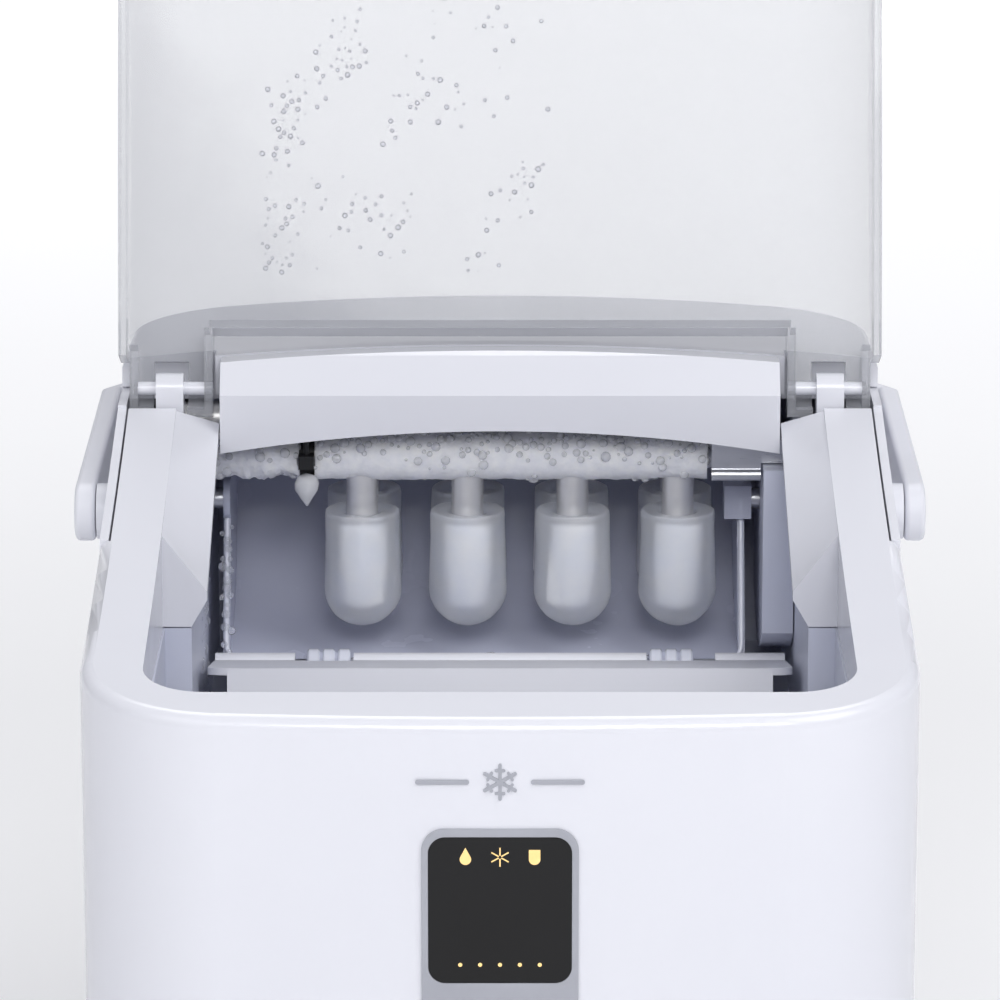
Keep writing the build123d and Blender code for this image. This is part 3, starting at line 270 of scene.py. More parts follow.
# Aluminium fin stock: pale and flat.
finishes["aluminium_fin"] = worked_metal("aluminium_fin_stock", "C3C5C9", "DCDDE0", (0.28, 0.45),
                                         (1.0, 1.0, 0.2), 0.6)
# Machined brass: yellow with tool lines.
finishes["valve_body"] = worked_metal("brass_machined", "A98A46", "C9AB66", (0.2, 0.36), (1.0, 1.0, 0.1), 0.5)

# %% [markdown]
# ## Display window and circuit boards
# The window is smoked acrylic: near-black, very glossy, with faint depth. The boards are green glass
# fibre: copper traces show as lighter lines on a fine grid.

# %% Smoked window and circuit board
lens_finish, tree, surface, place = blank_finish("acrylic_smoked", Coat_Weight=0.3, Coat_Roughness=0.03,
                                                 IOR=1.49, Specular_IOR_Level=0.2)
mottle(tree, place, surface.inputs["Base Color"], 30, "050506", "0C0C0F")
mottle(tree, place, surface.inputs["Roughness"], 12, 0.06, 0.12)
finishes["display_black"] = lens_finish

board_finish, tree, surface, place = blank_finish("fibreglass_board", Coat_Weight=0.4, Coat_Roughness=0.2)
TRACE_PITCH = 2.5
bricks = add_node(
    tree, "ShaderNodeTexBrick",
    {"Scale": per_mm(TRACE_PITCH * 4), "Mortar Size": 0.03, "Color1": linear("0F4A2A"),
     "Color2": linear("0C3F24"), "Mortar": linear("3E8A55")},
    {"Vector": place},
)
tree.links.new(bricks.outputs["Color"], surface.inputs["Base Color"])
mottle(tree, place, surface.inputs["Roughness"], 3, 0.3, 0.5)
finishes["circuit_board"] = board_finish
print("finishes so far", len(finishes))

# %% [markdown]
# ## Water, frost and ice
# Three states of one stuff. A drop is a clear lens. Frost is ice full of air, so it scatters light and
# looks white and grainy. A bullet of ice from a chilled finger lies between: its skin is frosted,
# its body lets light in, and the finger glows through as a bright core, helped by a painted glow.

# %% Water, frost and bullet ice
water_drop, tree, surface, place = blank_finish("water_drop", Transmission_Weight=0.85, IOR=1.333)
surface.inputs["Base Color"].default_value = linear("FAFBFF")
mottle(tree, place, surface.inputs["Roughness"], 2, 0.0, 0.05)

frozen_drop, tree, surface, place = blank_finish("frozen_drop", IOR=1.31, Transmission_Weight=0.42)
mottle(tree, place, surface.inputs["Base Color"], 4, "E9EBF2", "FFFFFF")
mottle(tree, place, surface.inputs["Roughness"], 2, 0.05, 0.16)

frost, tree, surface, place = blank_finish("frost_rime", IOR=1.31, Subsurface_Weight=0.5,
                                           Subsurface_Scale=1.0)
surface.inputs["Subsurface Radius"].default_value = (0.003, 0.003, 0.0034)
mottle(tree, place, surface.inputs["Base Color"], 3.0, "E2E4EC", "FDFDFF")
mottle(tree, place, surface.inputs["Roughness"], 2.0, 0.35, 0.65)
grain(tree, place, surface, 1.1, 0.00025, detail=3.0)

bullet_ice, tree, surface, place = blank_finish("ice_frosted_skin", IOR=1.31, Transmission_Weight=0.74)
mottle(tree, place, surface.inputs["Base Color"], 7, "ECF0FA", "FFFFFF")
mottle(tree, place, surface.inputs["Roughness"], 5, 0.28, 0.40)
grain(tree, place, surface, 2.2, 0.00005, detail=2.0)
finishes["ice"] = bullet_ice

cloudy_ice_painted_glow, tree, surface, place = blank_finish("ice_cloudy_core_painted_glow", IOR=1.31, Subsurface_Weight=0.6,
                                                Subsurface_Scale=1.0)
surface.inputs["Subsurface Radius"].default_value = (0.004, 0.004, 0.004)
# Light that has wandered through the ice leaves again here; a faint painted glow, an emission on the core,
# stands in for it.
surface.inputs["Emission Color"].default_value = linear("F4F5FA")
surface.inputs["Emission Strength"].default_value = 0.16
mottle(tree, place, surface.inputs["Base Color"], 3, "F2F2F2", "FFFFFF")
mottle(tree, place, surface.inputs["Roughness"], 3, 0.45, 0.60)
grain(tree, place, surface, 2.0, 0.0002)

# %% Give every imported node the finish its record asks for
slot_of = {row["node"]: row["material_slot"] for row in frame["record"]["subparts"]}
for name, node in nodes.items():
    for slot in node.material_slots:
        slot.material = finishes[slot_of[name]]
print("nodes finished", len(nodes))

# %% [markdown]
# ## Growing pieces with Geometry Nodes
# What repeats, or follows a pipe or a wall, is grown by a node tree: the tree is built here in code,
# its sizes are named inputs, and its random seeds are fixed. The grown result is copied out as a plain
# mesh, because a piece must not carry a live tree with it.

# %% Tree and growing helpers
def new_tree(name, **inputs):
    """A geometry tree with a Geometry input, then the named inputs. Returns it with its input node."""
    tree = bpy.data.node_groups.new(name, "GeometryNodeTree")
    tree.interface.new_socket("Geometry", in_out="INPUT", socket_type="NodeSocketGeometry")
    for label, kind in inputs.items():
        tree.interface.new_socket(label, in_out="INPUT", socket_type=f"NodeSocket{kind}")
    tree.interface.new_socket("Geometry", in_out="OUTPUT", socket_type="NodeSocketGeometry")
    return tree, tree.nodes.new("NodeGroupInput").outputs


def end_tree(tree, geometry, material, smooth=True):
    """Closes a tree: real geometry, smooth faces, one material, out."""
    real = add_node(tree, "GeometryNodeRealizeInstances", links={"Geometry": geometry})
    shaded = add_node(tree, "GeometryNodeSetShadeSmooth", {"Shade Smooth": smooth}, {0: real.outputs[0]})
    coated = add_node(tree, "GeometryNodeSetMaterial", {"Material": material},
                      {"Geometry": shaded.outputs[0]})
    tree.nodes.new("NodeGroupOutput")
    tree.links.new(coated.outputs[0], tree.nodes["Group Output"].inputs[0])
    return tree


def push_skin(tree, geometry, scale, depth):
    """Pushes a skin in and out along its normals by noise of that scale, at most half the depth."""
    cloud = add_node(tree, "ShaderNodeTexNoise", {"Detail": 2.0}, {"Scale": scale})
    centred = add_node(tree, "ShaderNodeMath", {"operation": "SUBTRACT", 1: 0.5}, {0: cloud.outputs["Fac"]})
    reach = add_node(tree, "ShaderNodeMath", {"operation": "MULTIPLY"}, {0: centred.outputs[0], 1: depth})
    facing = add_node(tree, "GeometryNodeInputNormal")
    push = add_node(tree, "ShaderNodeVectorMath", {"operation": "SCALE"},
                    {0: facing.outputs[0], "Scale": reach.outputs[0]})
    moved = add_node(tree, "GeometryNodeSetPosition", links={0: geometry, "Offset": push.outputs[0]})
    return moved.outputs[0]


def place_object(name, data):
    """Puts a mesh or a curve in the scene, at the origin."""
    thing = bpy.data.objects.new(name, data)
    bpy.context.scene.collection.objects.link(thing)
    return thing


def grow(name, seed_data, tree, **values):
    """Runs a tree over a seed mesh or curve and returns the result as a plain piece."""
    seed = place_object("seed_of_" + name, seed_data)
    modifier = seed.modifiers.new("grow", "NODES")
    modifier.node_group = tree
    sockets = {s.name: s.identifier for s in tree.interface.items_tree if s.in_out == "INPUT"}
    for label, value in values.items():
        modifier[sockets[label]] = value
    seed.update_tag()
    graph = bpy.context.evaluated_depsgraph_get()
    mesh = bpy.data.meshes.new_from_object(seed.evaluated_get(graph), depsgraph=graph)
    seed.modifiers.clear()
    bpy.data.objects.remove(seed)
    piece = place_object(name, mesh)
    print(name, len(mesh.polygons), "faces")
    return piece


# %% Lathe helper: a closed outline turned about an upright axis
def lathe(name, outline, centre, steps=48):
    """Spins (radius, height) points about the axis through centre, closes it and turns faces outwards."""
    shape = bmesh.new()
    rings = [
        [shape.verts.new(centre + Vector((r * math.cos(a), r * math.sin(a), z)))
         for a in (2 * math.pi * k / steps for k in range(steps))]
        for r, z in outline
    ]
    for low, high in zip(rings, rings[1:]):
        for k in range(steps):
            shape.faces.new((low[k], low[(k + 1) % steps], high[(k + 1) % steps], high[k]))
    bmesh.ops.remove_doubles(shape, verts=shape.verts, dist=1e-6)
    bmesh.ops.holes_fill(shape, edges=[e for e in shape.edges if e.is_boundary])
    bmesh.ops.recalc_face_normals(shape, faces=shape.faces)
    mesh = bpy.data.meshes.new(name)
    shape.to_mesh(mesh)
    shape.free()
    mesh.shade_smooth()
    return mesh


# %% [markdown]
# ## Ice bullets
# Each finger wears a bullet of ice: a round-ended barrel, a soft rolled rim on top, and a bore where
# the finger is. One bullet is turned on a lathe, then a tree sets it on every finger, turns each by a
# random angle, and swells and dents the skin so that no two look alike.

# %% Where the fingers stand
MM = 0.001
finger_lo, finger_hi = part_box("freezing_fingers")
ice_lo, ice_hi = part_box("ice_bullets")
FINGER_R = 4.7 * MM
ICE_R = (ice_hi.x - ice_lo.x - (finger_hi.x - finger_lo.x)) / 2 + FINGER_R
FINGERS_IN_ROW = 4
row_ys = (finger_lo.y + FINGER_R, finger_hi.y - FINGER_R)
first_x, last_x = finger_lo.x + FINGER_R, finger_hi.x - FINGER_R
finger_xs = [first_x + (last_x - first_x) * k / (FINGERS_IN_ROW - 1) for k in range(FINGERS_IN_ROW)]
print("fingers at", [round(x * 1000, 1) for x in finger_xs], "ice radius", round(ICE_R * 1000, 2))

# %% One bullet, with its rim and bore
ICE_TALL = ice_hi.z - ice_lo.z
SKIN_ROOM = 0.25 * MM
barrel_r = ICE_R - SKIN_ROOM
bore_r = FINGER_R + 0.1 * MM
bore_low = finger_lo.z - ice_lo.z
ARC_STEPS = 12
core_r, CORE_TOP_GAP = 6.6 * MM, 3.5 * MM
bullet_outline = [(0.0, bore_low - 1.6 * MM), (core_r * 0.6, bore_low - 1.5 * MM)]
bullet_outline += [(core_r, bore_low + 0.6 * MM)]
bullet_outline += [(core_r, ICE_TALL - CORE_TOP_GAP), (bore_r, ICE_TALL - CORE_TOP_GAP + 0.6 * MM)]
bullet_outline += [(bore_r, ICE_TALL - 1.5 * MM)]
bullet_outline += [(barrel_r * 0.55, ICE_TALL - 0.6 * MM), (barrel_r * 0.75, ICE_TALL - 0.9 * MM)]
bullet_outline += [(barrel_r - 1.3 * MM, ICE_TALL - SKIN_ROOM), (barrel_r - 0.7 * MM, ICE_TALL - 0.6 * MM)]
bullet_outline += [(barrel_r - 0.5 * MM, ICE_TALL * (0.95 - 0.1 * k)) for k in range(3)]
bullet_outline += [
    (barrel_r * math.cos(a), SKIN_ROOM + barrel_r * (1 - math.sin(a)))
    for a in (math.pi / 2 * k / ARC_STEPS for k in range(ARC_STEPS + 1))
]
bullet_mesh = lathe("one_bullet", bullet_outline, Vector((0, 0, 0)), steps=56)
bullet_seed = place_object("one_bullet", bullet_mesh)
print("bullet faces", len(bullet_mesh.polygons))

# %% The tree that sets a piece on every finger
def set_on_fingers(name, material):
    """Stands the seed piece on each point, turned at random, its skin pushed in and out by Swell."""
    tree, given = new_tree(name, Bullet="Object", Swell="Float", Lump="Float", Seed="Int")
    shape = add_node(tree, "GeometryNodeObjectInfo", links={"Object": given["Bullet"]})
    angle = add_node(
        tree, "FunctionNodeRandomValue", {"data_type": "FLOAT_VECTOR", 0: (0, 0, 0), 1: (0, 0, 6.28)},
        {"Seed": given["Seed"]},
    )
    stand = add_node(
        tree, "GeometryNodeInstanceOnPoints",
        links={"Points": given["Geometry"], "Instance": shape.outputs["Geometry"],
               "Rotation": angle.outputs[0]},
    )
    solid = add_node(tree, "GeometryNodeRealizeInstances", links={"Geometry": stand.outputs[0]})
    return end_tree(tree, push_skin(tree, solid.outputs[0], given["Lump"], given["Swell"]), material)


stations = bpy.data.meshes.new("finger_stations")
stations.from_pydata([(x, y, ice_lo.z) for y in row_ys for x in finger_xs], [], [])
bullet_tree = set_on_fingers("set_bullets", bullet_ice)
ice = grow("ice_on_fingers", stations, bullet_tree, Bullet=bullet_seed, Swell=0.9 * MM, Lump=per_mm(7),
           Seed=4)
bpy.data.objects.remove(bullet_seed)
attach(ice, body_of(nodes["ice_bullets"])[0])
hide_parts("ice_bullets")

# %% [markdown]
# The first ice to freeze, next to the metal, traps the most air and turns cloudy white. It is a
# separate sleeve round each finger, inside the clearer ice, and it is what glows in the middle: partly
# its cloudy white, partly a painted glow.

# %% The cloudy core of each bullet
CORE_SLACK = 0.08 * MM
core_out = core_r - CORE_SLACK
core_in = FINGER_R + 0.03 * MM
core_outline = [(0.0, bore_low - 1.5 * MM), (core_out * 0.6, bore_low - 1.4 * MM)]
core_outline += [(core_out, bore_low + 0.7 * MM)]
core_outline += [(core_out, ICE_TALL - CORE_TOP_GAP - CORE_SLACK), (core_in, ICE_TALL - CORE_TOP_GAP)]
core_outline += [(core_in, bore_low - 0.02 * MM), (0.0, bore_low - 0.02 * MM)]
core_seed = place_object("one_core", lathe("one_core", core_outline, Vector((0, 0, 0)), steps=32))
core_tree = set_on_fingers("set_cores", cloudy_ice_painted_glow)
cores = grow("cloudy_cores", stations, core_tree, Bullet=core_seed, Swell=0.0, Lump=per_mm(7), Seed=9)
bpy.data.objects.remove(core_seed)
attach(cores, body_of(nodes["ice_bullets"])[0])

# %% [markdown]
# ## Frost on the evaporator
# The cold tube grows a sleeve of rime between the fingers, and a shaggier one on the pipes that lead
# in from the left. A tree sweeps a ring along a line, subdivides it, and pushes the skin in and out
# with two sizes of noise: big soft lumps, and grains on top of them.

# %% The tree that grows a frost sleeve
def frost_tree(name, material):
    """A sleeve round a line: Radius, Lump and Grain are sizes, Depth values are how far they push."""
    tree, given = new_tree(name, Radius="Float", Step="Float", Lump="Float", LumpDepth="Float",
                           Grain="Float", GrainDepth="Float")
    fine = add_node(tree, "GeometryNodeResampleCurve", {"mode": "LENGTH"},
                    {"Curve": given["Geometry"], "Length": given["Step"]})
    ring = add_node(tree, "GeometryNodeCurvePrimitiveCircle", {"Resolution": 28}, {"Radius": given["Radius"]})
    tube = add_node(tree, "GeometryNodeCurveToMesh", {"Fill Caps": True},
                    {"Curve": fine.outputs[0], "Profile Curve": ring.outputs[0]})
    lumpy = push_skin(tree, tube.outputs[0], given["Lump"], given["LumpDepth"])
    grainy = push_skin(tree, lumpy, given["Grain"], given["GrainDepth"])
    return end_tree(tree, grainy, material)


def line_of(name, points):
    """A smooth curve through points, in metres."""
    curve = bpy.data.curves.new(name, "CURVE")
    curve.dimensions = "3D"
    spline = curve.splines.new("POLY")
    spline.points.add(len(points) - 1)
    for point, where in zip(spline.points, points):
        point.co = (*where, 1.0)
    return curve


# %% Frost sleeves
TUBE_R = 5.0 * MM
tube_lo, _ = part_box("evaporator_tube")
tube_z = tube_lo.z + TUBE_R
clip_lo, clip_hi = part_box("probe_clip")
bracket_lo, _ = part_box("evaporator_bracket")
rime = frost_tree("grow_rime", frost)
housing_body = body_of(nodes["evaporator_tube"])[0]
left_end = clip_hi.x + 0.2 * MM
right_end = bracket_lo.x - 1.0 * MM
pipe_right, pipe_left = clip_lo.x - 0.2 * MM, -84.5 * MM
# For each sleeve: its two ends along X, its row, then its radius, lump depth and grain depth in mm.
sleeves = {
    "rime_front_tube": (left_end, right_end, row_ys[0], 7.4, 1.8, 0.35),
    "rime_rear_tube": (left_end, right_end, row_ys[1], 6.8, 1.6, 0.7),
    "rime_left_pipe": (pipe_right, pipe_left, row_ys[0], 7.2, 6.0, 2.2),
}
frost_pieces = {}
for name, (from_x, to_x, row_y, radius, lump_depth, grain_depth) in sleeves.items():
    route = [(from_x, row_y, tube_z), (to_x, row_y, tube_z)]
    piece = grow(name, line_of(name, route), rime, Radius=radius * MM, Step=0.6 * MM, Lump=per_mm(9),
                 LumpDepth=lump_depth * MM, Grain=per_mm(1.6), GrainDepth=grain_depth * MM)
    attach(piece, housing_body)
    frost_pieces[name] = piece

# %% [markdown]
# ## Dew
# Drops sit where warm room air meets cold parts: on the frost, on the lid's inner face where breath
# and cold meet, and on the left wall of the chamber. A tree scatters points over a patch of surface,
# never closer than a set gap, and stands a flattened bead on each. Every bead has a few dozen faces.

# %% The tree that scatters drops
def dew_tree(name, material, flatness):
    """Scatters beads over a patch. Gap keeps them apart, Density is per square metre."""
    tree, given = new_tree(name, Gap="Float", Density="Float", Bead="Float", Small="Float", Seed="Int")
    wet = add_node(tree, "GeometryNodeInputNamedAttribute", {"data_type": "FLOAT", "Name": "wet"})
    scatter = add_node(
        tree, "GeometryNodeDistributePointsOnFaces", {"distribute_method": "POISSON"},
        {"Mesh": given["Geometry"], "Distance Min": given["Gap"], "Density Max": given["Density"],
         "Density Factor": wet.outputs["Attribute"], "Seed": given["Seed"]},
    )
    bead = add_node(tree, "GeometryNodeMeshIcoSphere", {"Subdivisions": 2}, {"Radius": given["Bead"]})
    flat = add_node(tree, "GeometryNodeTransform", {"Scale": (1.0, 1.0, flatness)},
                    {"Geometry": bead.outputs[0]})
    size = add_node(tree, "FunctionNodeRandomValue", {"data_type": "FLOAT", 3: 1.0},
                    {2: given["Small"], "Seed": given["Seed"]})
    beads = add_node(
        tree, "GeometryNodeInstanceOnPoints",
        links={"Points": scatter.outputs["Points"], "Instance": flat.outputs[0],
               "Rotation": scatter.outputs["Rotation"], "Scale": size.outputs[1]},
    )
    return end_tree(tree, beads.outputs[0], material)


def patch_on(node, corner, across, along, columns, rows, toward, wetness):
    """A grid laid on a node's surface by casting rays, with a `wet` value at each point."""
    tree = BVHTree.FromPolygons(
        [v.co for v in node.data.vertices], [tuple(p.vertices) for p in node.data.polygons]
    )
    shape = bmesh.new()
    wet = shape.verts.layers.float.new("wet")
    grid = {}
    for i in range(columns + 1):
        for j in range(rows + 1):
            start = corner + across * (i / columns) + along * (j / rows)
            hit, _, _, _ = tree.ray_cast(start, toward)
            if hit is not None:
                grid[i, j] = shape.verts.new(hit)
                grid[i, j][wet] = wetness(i / columns, j / rows)
    for i in range(columns):
        for j in range(rows):
            square = [grid.get(key) for key in ((i, j), (i + 1, j), (i + 1, j + 1), (i, j + 1))]
            if None not in square:
                face = shape.faces.new(square)
                face.normal_update()
                if face.normal.dot(toward) > 0:
                    face.normal_flip()
    mesh = bpy.data.meshes.new("patch")
    shape.to_mesh(mesh)
    shape.free()
    return mesh


dew = dew_tree("scatter_dew", water_drop, 0.62)

# %% Dew on the frost sleeves
frozen_dew = dew_tree("scatter_frozen_dew", frozen_drop, 0.75)
# For each sleeve: the gap between drops and the size of the biggest, in mm, and a seed.
drop_sizes = {
    "rime_front_tube": (1.7, 1.6, 3),
    "rime_left_pipe": (1.8, 1.7, 8),
    "rime_rear_tube": (2.6, 1.4, 5),
}
for name, (gap, bead, seed) in drop_sizes.items():
    skin = frost_pieces[name].data.copy()
    layer = skin.attributes.new("wet", "FLOAT", "POINT")
    for k, vertex in enumerate(skin.vertices):
        facing_up = max(0.08, min(1.0, 0.45 + 0.9 * vertex.normal.z))
        layer.data[k].value = facing_up if vertex.normal.y < 0.4 else 0.1
    beads = grow("dew_" + name, skin, frozen_dew, Gap=gap * MM, Density=260000.0, Bead=bead * MM,
                 Small=0.25, Seed=seed)
    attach(beads, housing_body)

# %% Dew inside the lid
lid_body = body_of(nodes["lid"])[0]


def cluster(u, v):
    """Wet in drifting patches, wetter toward the upper left."""
    patchy = noise.noise(Vector((u * 5, v * 6, 3.1)))
    return max(0.0, min(1.0, 0.25 + 1.6 * patchy)) * (1.0 - 0.6 * u)


lid_patch = patch_on(
    nodes["lid"], Vector((-0.070, 0.0, 0.315)), Vector((0.085, 0, 0)), Vector((0, 0, 0.13)), 40, 50,
    Vector((0, 1, 0)), cluster,
)
lid_dew = grow("dew_in_lid", lid_patch, dew, Gap=1.6 * MM, Density=190000.0, Bead=0.9 * MM, Small=0.3,
               Seed=12)
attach(lid_dew, lid_body)

# %% Dew on the left wall of the chamber
def running(u, v):
    """Wetter low down and near the front, where the drops run together."""
    return max(0.0, 0.9 - 1.1 * u) * (0.35 + 0.65 * (1 - v))


wall_patch = patch_on(
    nodes["inner_liner"], Vector((0, 0.017, 0.192)), Vector((0, 0.060, 0)), Vector((0, 0, 0.062)), 30, 30,
    Vector((-1, 0, 0)), running,
)
wall_dew = grow("dew_on_chamber_wall", wall_patch, dew, Gap=2.6 * MM, Density=90000.0, Bead=1.5 * MM,
                Small=0.3, Seed=21)
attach(wall_dew, body_of(nodes["inner_liner"])[0])

# %% [markdown]
# ## Edge of the tray
# Clear plastic lights up along its cut edges, because light runs inside the wall and leaves at the
# rim. The tray shows this as a pale line round its open front. A thin bead, painted nearly white as a
# painted highlight for that light, is swept along that edge: down the left wall, round the corner,
# along the lip and up again. It tips with the tray.

# %% A tree that sweeps a round bead along a path
def bead_tree(name, material):
    """Sweeps a ring of the given radius along a line."""
    tree, given = new_tree(name, Radius="Float")
    ring = add_node(tree, "GeometryNodeCurvePrimitiveCircle", {"Resolution": 10}, {"Radius": given["Radius"]})
    tube = add_node(tree, "GeometryNodeCurveToMesh", {"Fill Caps": True},
                    {"Curve": given["Geometry"], "Profile Curve": ring.outputs[0]})
    return end_tree(tree, tube.outputs[0], material)


def rounded(corner, before, after, radius, steps=6):
    """Points that turn the corner in a smooth curve, starting and ending a radius away from it."""
    start = corner + (before - corner).normalized() * radius
    end = corner + (after - corner).normalized() * radius
    return [start.lerp(corner, t).lerp(corner.lerp(end, t), t) for t in (k / steps for k in range(steps + 1))]


# %% The painted highlight along the tray's edge
tray_lo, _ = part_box("water_tray")
pivot_lo, pivot_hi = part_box("tray_pivot_pin")
flap_pin_lo, flap_pin_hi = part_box("flap_hinge_pin")
axis_y, axis_z = (pivot_lo.y + pivot_hi.y) / 2, (pivot_lo.z + pivot_hi.z) / 2
flap_y, flap_z = (flap_pin_lo.y + flap_pin_hi.y) / 2, (flap_pin_lo.z + flap_pin_hi.z) / 2
TRAY_WALL, EDGE_R, CORNER_R = 2.0 * MM, 0.75 * MM, 6.0 * MM
LIP_AHEAD, LIP_BELOW, TRAY_RIGHT = 3.6 * MM, 0.8 * MM, 72.5 * MM
lip_y, lip_z = flap_y + LIP_AHEAD, flap_z - LIP_BELOW
left_x, right_x = tray_lo.x + TRAY_WALL / 2, TRAY_RIGHT - TRAY_WALL / 2
top_left, top_right = Vector((left_x, axis_y, axis_z)), Vector((right_x, axis_y, axis_z))
low_left, low_right = Vector((left_x, lip_y, lip_z)), Vector((right_x, lip_y, lip_z))

# Painted highlight: the edge bead is painted nearly white, standing in for the light that runs inside
# the wall and leaves here.
painted_edge_highlight = moulded("polycarbonate_painted_edge_highlight", "D6D9E6", "E4E6F0", (0.16, 0.26), 12, 2.0, 0.00001,
                   Coat_Weight=0.5, Coat_Roughness=0.08)
tray_body = body_of(nodes["water_tray"])[0]
edge_route = [top_left] + rounded(low_left, top_left, low_right, CORNER_R)
edge_route += rounded(low_right, low_left, top_right, CORNER_R) + [top_right]
sweep_bead = bead_tree("sweep_painted_edge_highlight", painted_edge_highlight)
edge = grow("tray_lit_edge", line_of("tray_lit_edge", edge_route), sweep_bead, Radius=EDGE_R)
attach(edge, tray_body)

# %% [markdown]
# ## Hinge knuckles
# The flap hangs from two ears on the tray. On each ear the moulding is split into knuckles, short
# barrels with dark gaps between them, round a bright steel pin. One knuckle is turned on the lathe and
# a tree sets it out along the pin.

# %% Knuckles on the two ears
EAR_XS, EAR_HALF = (-50.5 * MM, 50.5 * MM), 6.5 * MM
KNUCKLE_R, KNUCKLE_LONG, CHAMFER = 4.2 * MM, 3.6 * MM, 0.5 * MM
PIN_HOLE_R = 1.5 * MM
knuckle_outline = [(PIN_HOLE_R, 0.0), (KNUCKLE_R - CHAMFER, 0.0), (KNUCKLE_R, CHAMFER)]
knuckle_outline += [(KNUCKLE_R, KNUCKLE_LONG - CHAMFER), (KNUCKLE_R - CHAMFER, KNUCKLE_LONG)]
knuckle_outline += [(PIN_HOLE_R, KNUCKLE_LONG), (PIN_HOLE_R, 0.0)]
knuckle_mesh = lathe("one_knuckle", knuckle_outline, Vector((0, 0, 0)), steps=28)
knuckle_mesh.transform(Matrix.Rotation(math.pi / 2, 4, "Y"))
knuckle_seed = place_object("one_knuckle", knuckle_mesh)

tree, given = new_tree("set_knuckles", Knuckle="Object", Pitch="Float")
shape = add_node(tree, "GeometryNodeObjectInfo", links={"Object": given["Knuckle"]})
step = add_node(tree, "ShaderNodeCombineXYZ", links={"X": given["Pitch"]})
row = add_node(tree, "GeometryNodeMeshLine", {"Count": 3}, {"Offset": step.outputs[0]})
barrels = add_node(tree, "GeometryNodeInstanceOnPoints",
                   links={"Points": row.outputs[0], "Instance": shape.outputs["Geometry"]})
ears = add_node(tree, "GeometryNodeInstanceOnPoints",
                links={"Points": given["Geometry"], "Instance": barrels.outputs[0]})
# The knuckles wear the same nearly white painted highlight as the tray's edge.
knuckle_tree = end_tree(tree, ears.outputs[0], painted_edge_highlight, smooth=False)
ear_points = bpy.data.meshes.new("ear_points")
ear_points.from_pydata([(x - EAR_HALF + 0.2 * MM, flap_y, flap_z) for x in EAR_XS], [], [])
knuckles = grow("hinge_knuckles", ear_points, knuckle_tree, Knuckle=knuckle_seed, Pitch=4.5 * MM)
bpy.data.objects.remove(knuckle_seed)
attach(knuckles, tray_body)

# %% [markdown]
# ## Water left on the lip, and a frozen drip
# When the tray tips, a last film of water clings under its lip in shallow lens shapes. Under the sensor
# clip an older drip has frozen into a blunt cone. The drip is turned on the lathe; the films are balls
# flattened until they are lenses.

# %% Films of water under the lip
film_shape = bmesh.new()
for x, wide, tall in ((-38, 9, 2.0), (-13, 11, 2.6), (-3, 4, 3.4), (22, 10, 1.8), (36, 8, 2.6), (46, 5, 3.0)):
    place = Matrix.Translation((x * MM, lip_y - 0.3 * MM, lip_z - 0.2 * MM))
    flatten = Matrix.Diagonal((wide * MM, 1.0 * MM, tall * MM, 1.0))
    made = bmesh.ops.create_icosphere(film_shape, subdivisions=4, radius=1.0, matrix=place @ flatten)
    for vertex in made["verts"]:
        ripple = noise.noise(vertex.co * per_mm(6)) * 0.5 * MM
        vertex.co.z += ripple
film_mesh = bpy.data.meshes.new("lip_water")
film_shape.to_mesh(film_mesh)
film_shape.free()
film_mesh.shade_smooth()
film_mesh.materials.append(water_drop)
films = place_object("lip_water", film_mesh)
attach(films, tray_body)
print("lip_water", len(film_mesh.polygons), "faces")

# %% The frozen drip under the sensor clip
clip_x = (clip_lo.x + clip_hi.x) / 2
DRIP_TALL, DRIP_R = 10.0 * MM, 3.6 * MM
drip_outline = [(0.0, 0.0), (0.5 * MM, 0.3 * MM), (DRIP_R * 0.55, DRIP_TALL * 0.25)]
drip_outline += [(DRIP_R * 0.95, DRIP_TALL * 0.5), (DRIP_R, DRIP_TALL * 0.7)]
drip_outline += [(DRIP_R * 0.8, DRIP_TALL * 0.9), (0.0, DRIP_TALL)]
drip_base = Vector((clip_x, clip_lo.y + 5.5 * MM, clip_lo.z - DRIP_TALL * 0.8))
drip_mesh = lathe("frozen_drip", drip_outline, drip_base, steps=32)
for vertex in drip_mesh.vertices:
    vertex.co += Vector((1, 1, 0)) * noise.noise(vertex.co * per_mm(3.0)) * 0.5 * MM
drip_mesh.materials.append(frozen_drop)
drip = place_object("frozen_drip", drip_mesh)
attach(drip, housing_body)

# %% Beads of dew along the tray's left edge
strip = bmesh.new()
wet = strip.verts.layers.float.new("wet")
STRIP_OUT = 1.6 * MM
for t in (k / 20 for k in range(21)):
    on_edge = low_left.lerp(top_left, t)
    for dx in (-STRIP_OUT, STRIP_OUT):
        vertex = strip.verts.new(on_edge + Vector((dx, -0.5 * MM, 0)))
        vertex[wet] = 0.9
strip.verts.ensure_lookup_table()
for k in range(20):
    face = strip.faces.new([strip.verts[2 * k + i] for i in (0, 1, 3, 2)])
    face.normal_update()
    if face.normal.y > 0:
        face.normal_flip()
strip_mesh = bpy.data.meshes.new("edge_strip")
strip.to_mesh(strip_mesh)
strip.free()
edge_dew = grow("dew_on_tray_edge", strip_mesh, dew, Gap=2.0 * MM, Density=220000.0, Bead=1.5 * MM,
                Small=0.4, Seed=33)
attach(edge_dew, tray_body)

# %% [markdown]
# ## Printed and lit symbols
# The window shows small lit symbols, and each key has a plain mark. They are thin raised prints, as a
# pad printer leaves: an open ring with a bar for power, a ring for select, and in the window a water
# drop, a bullet of ice and a row of dots. No words are used.

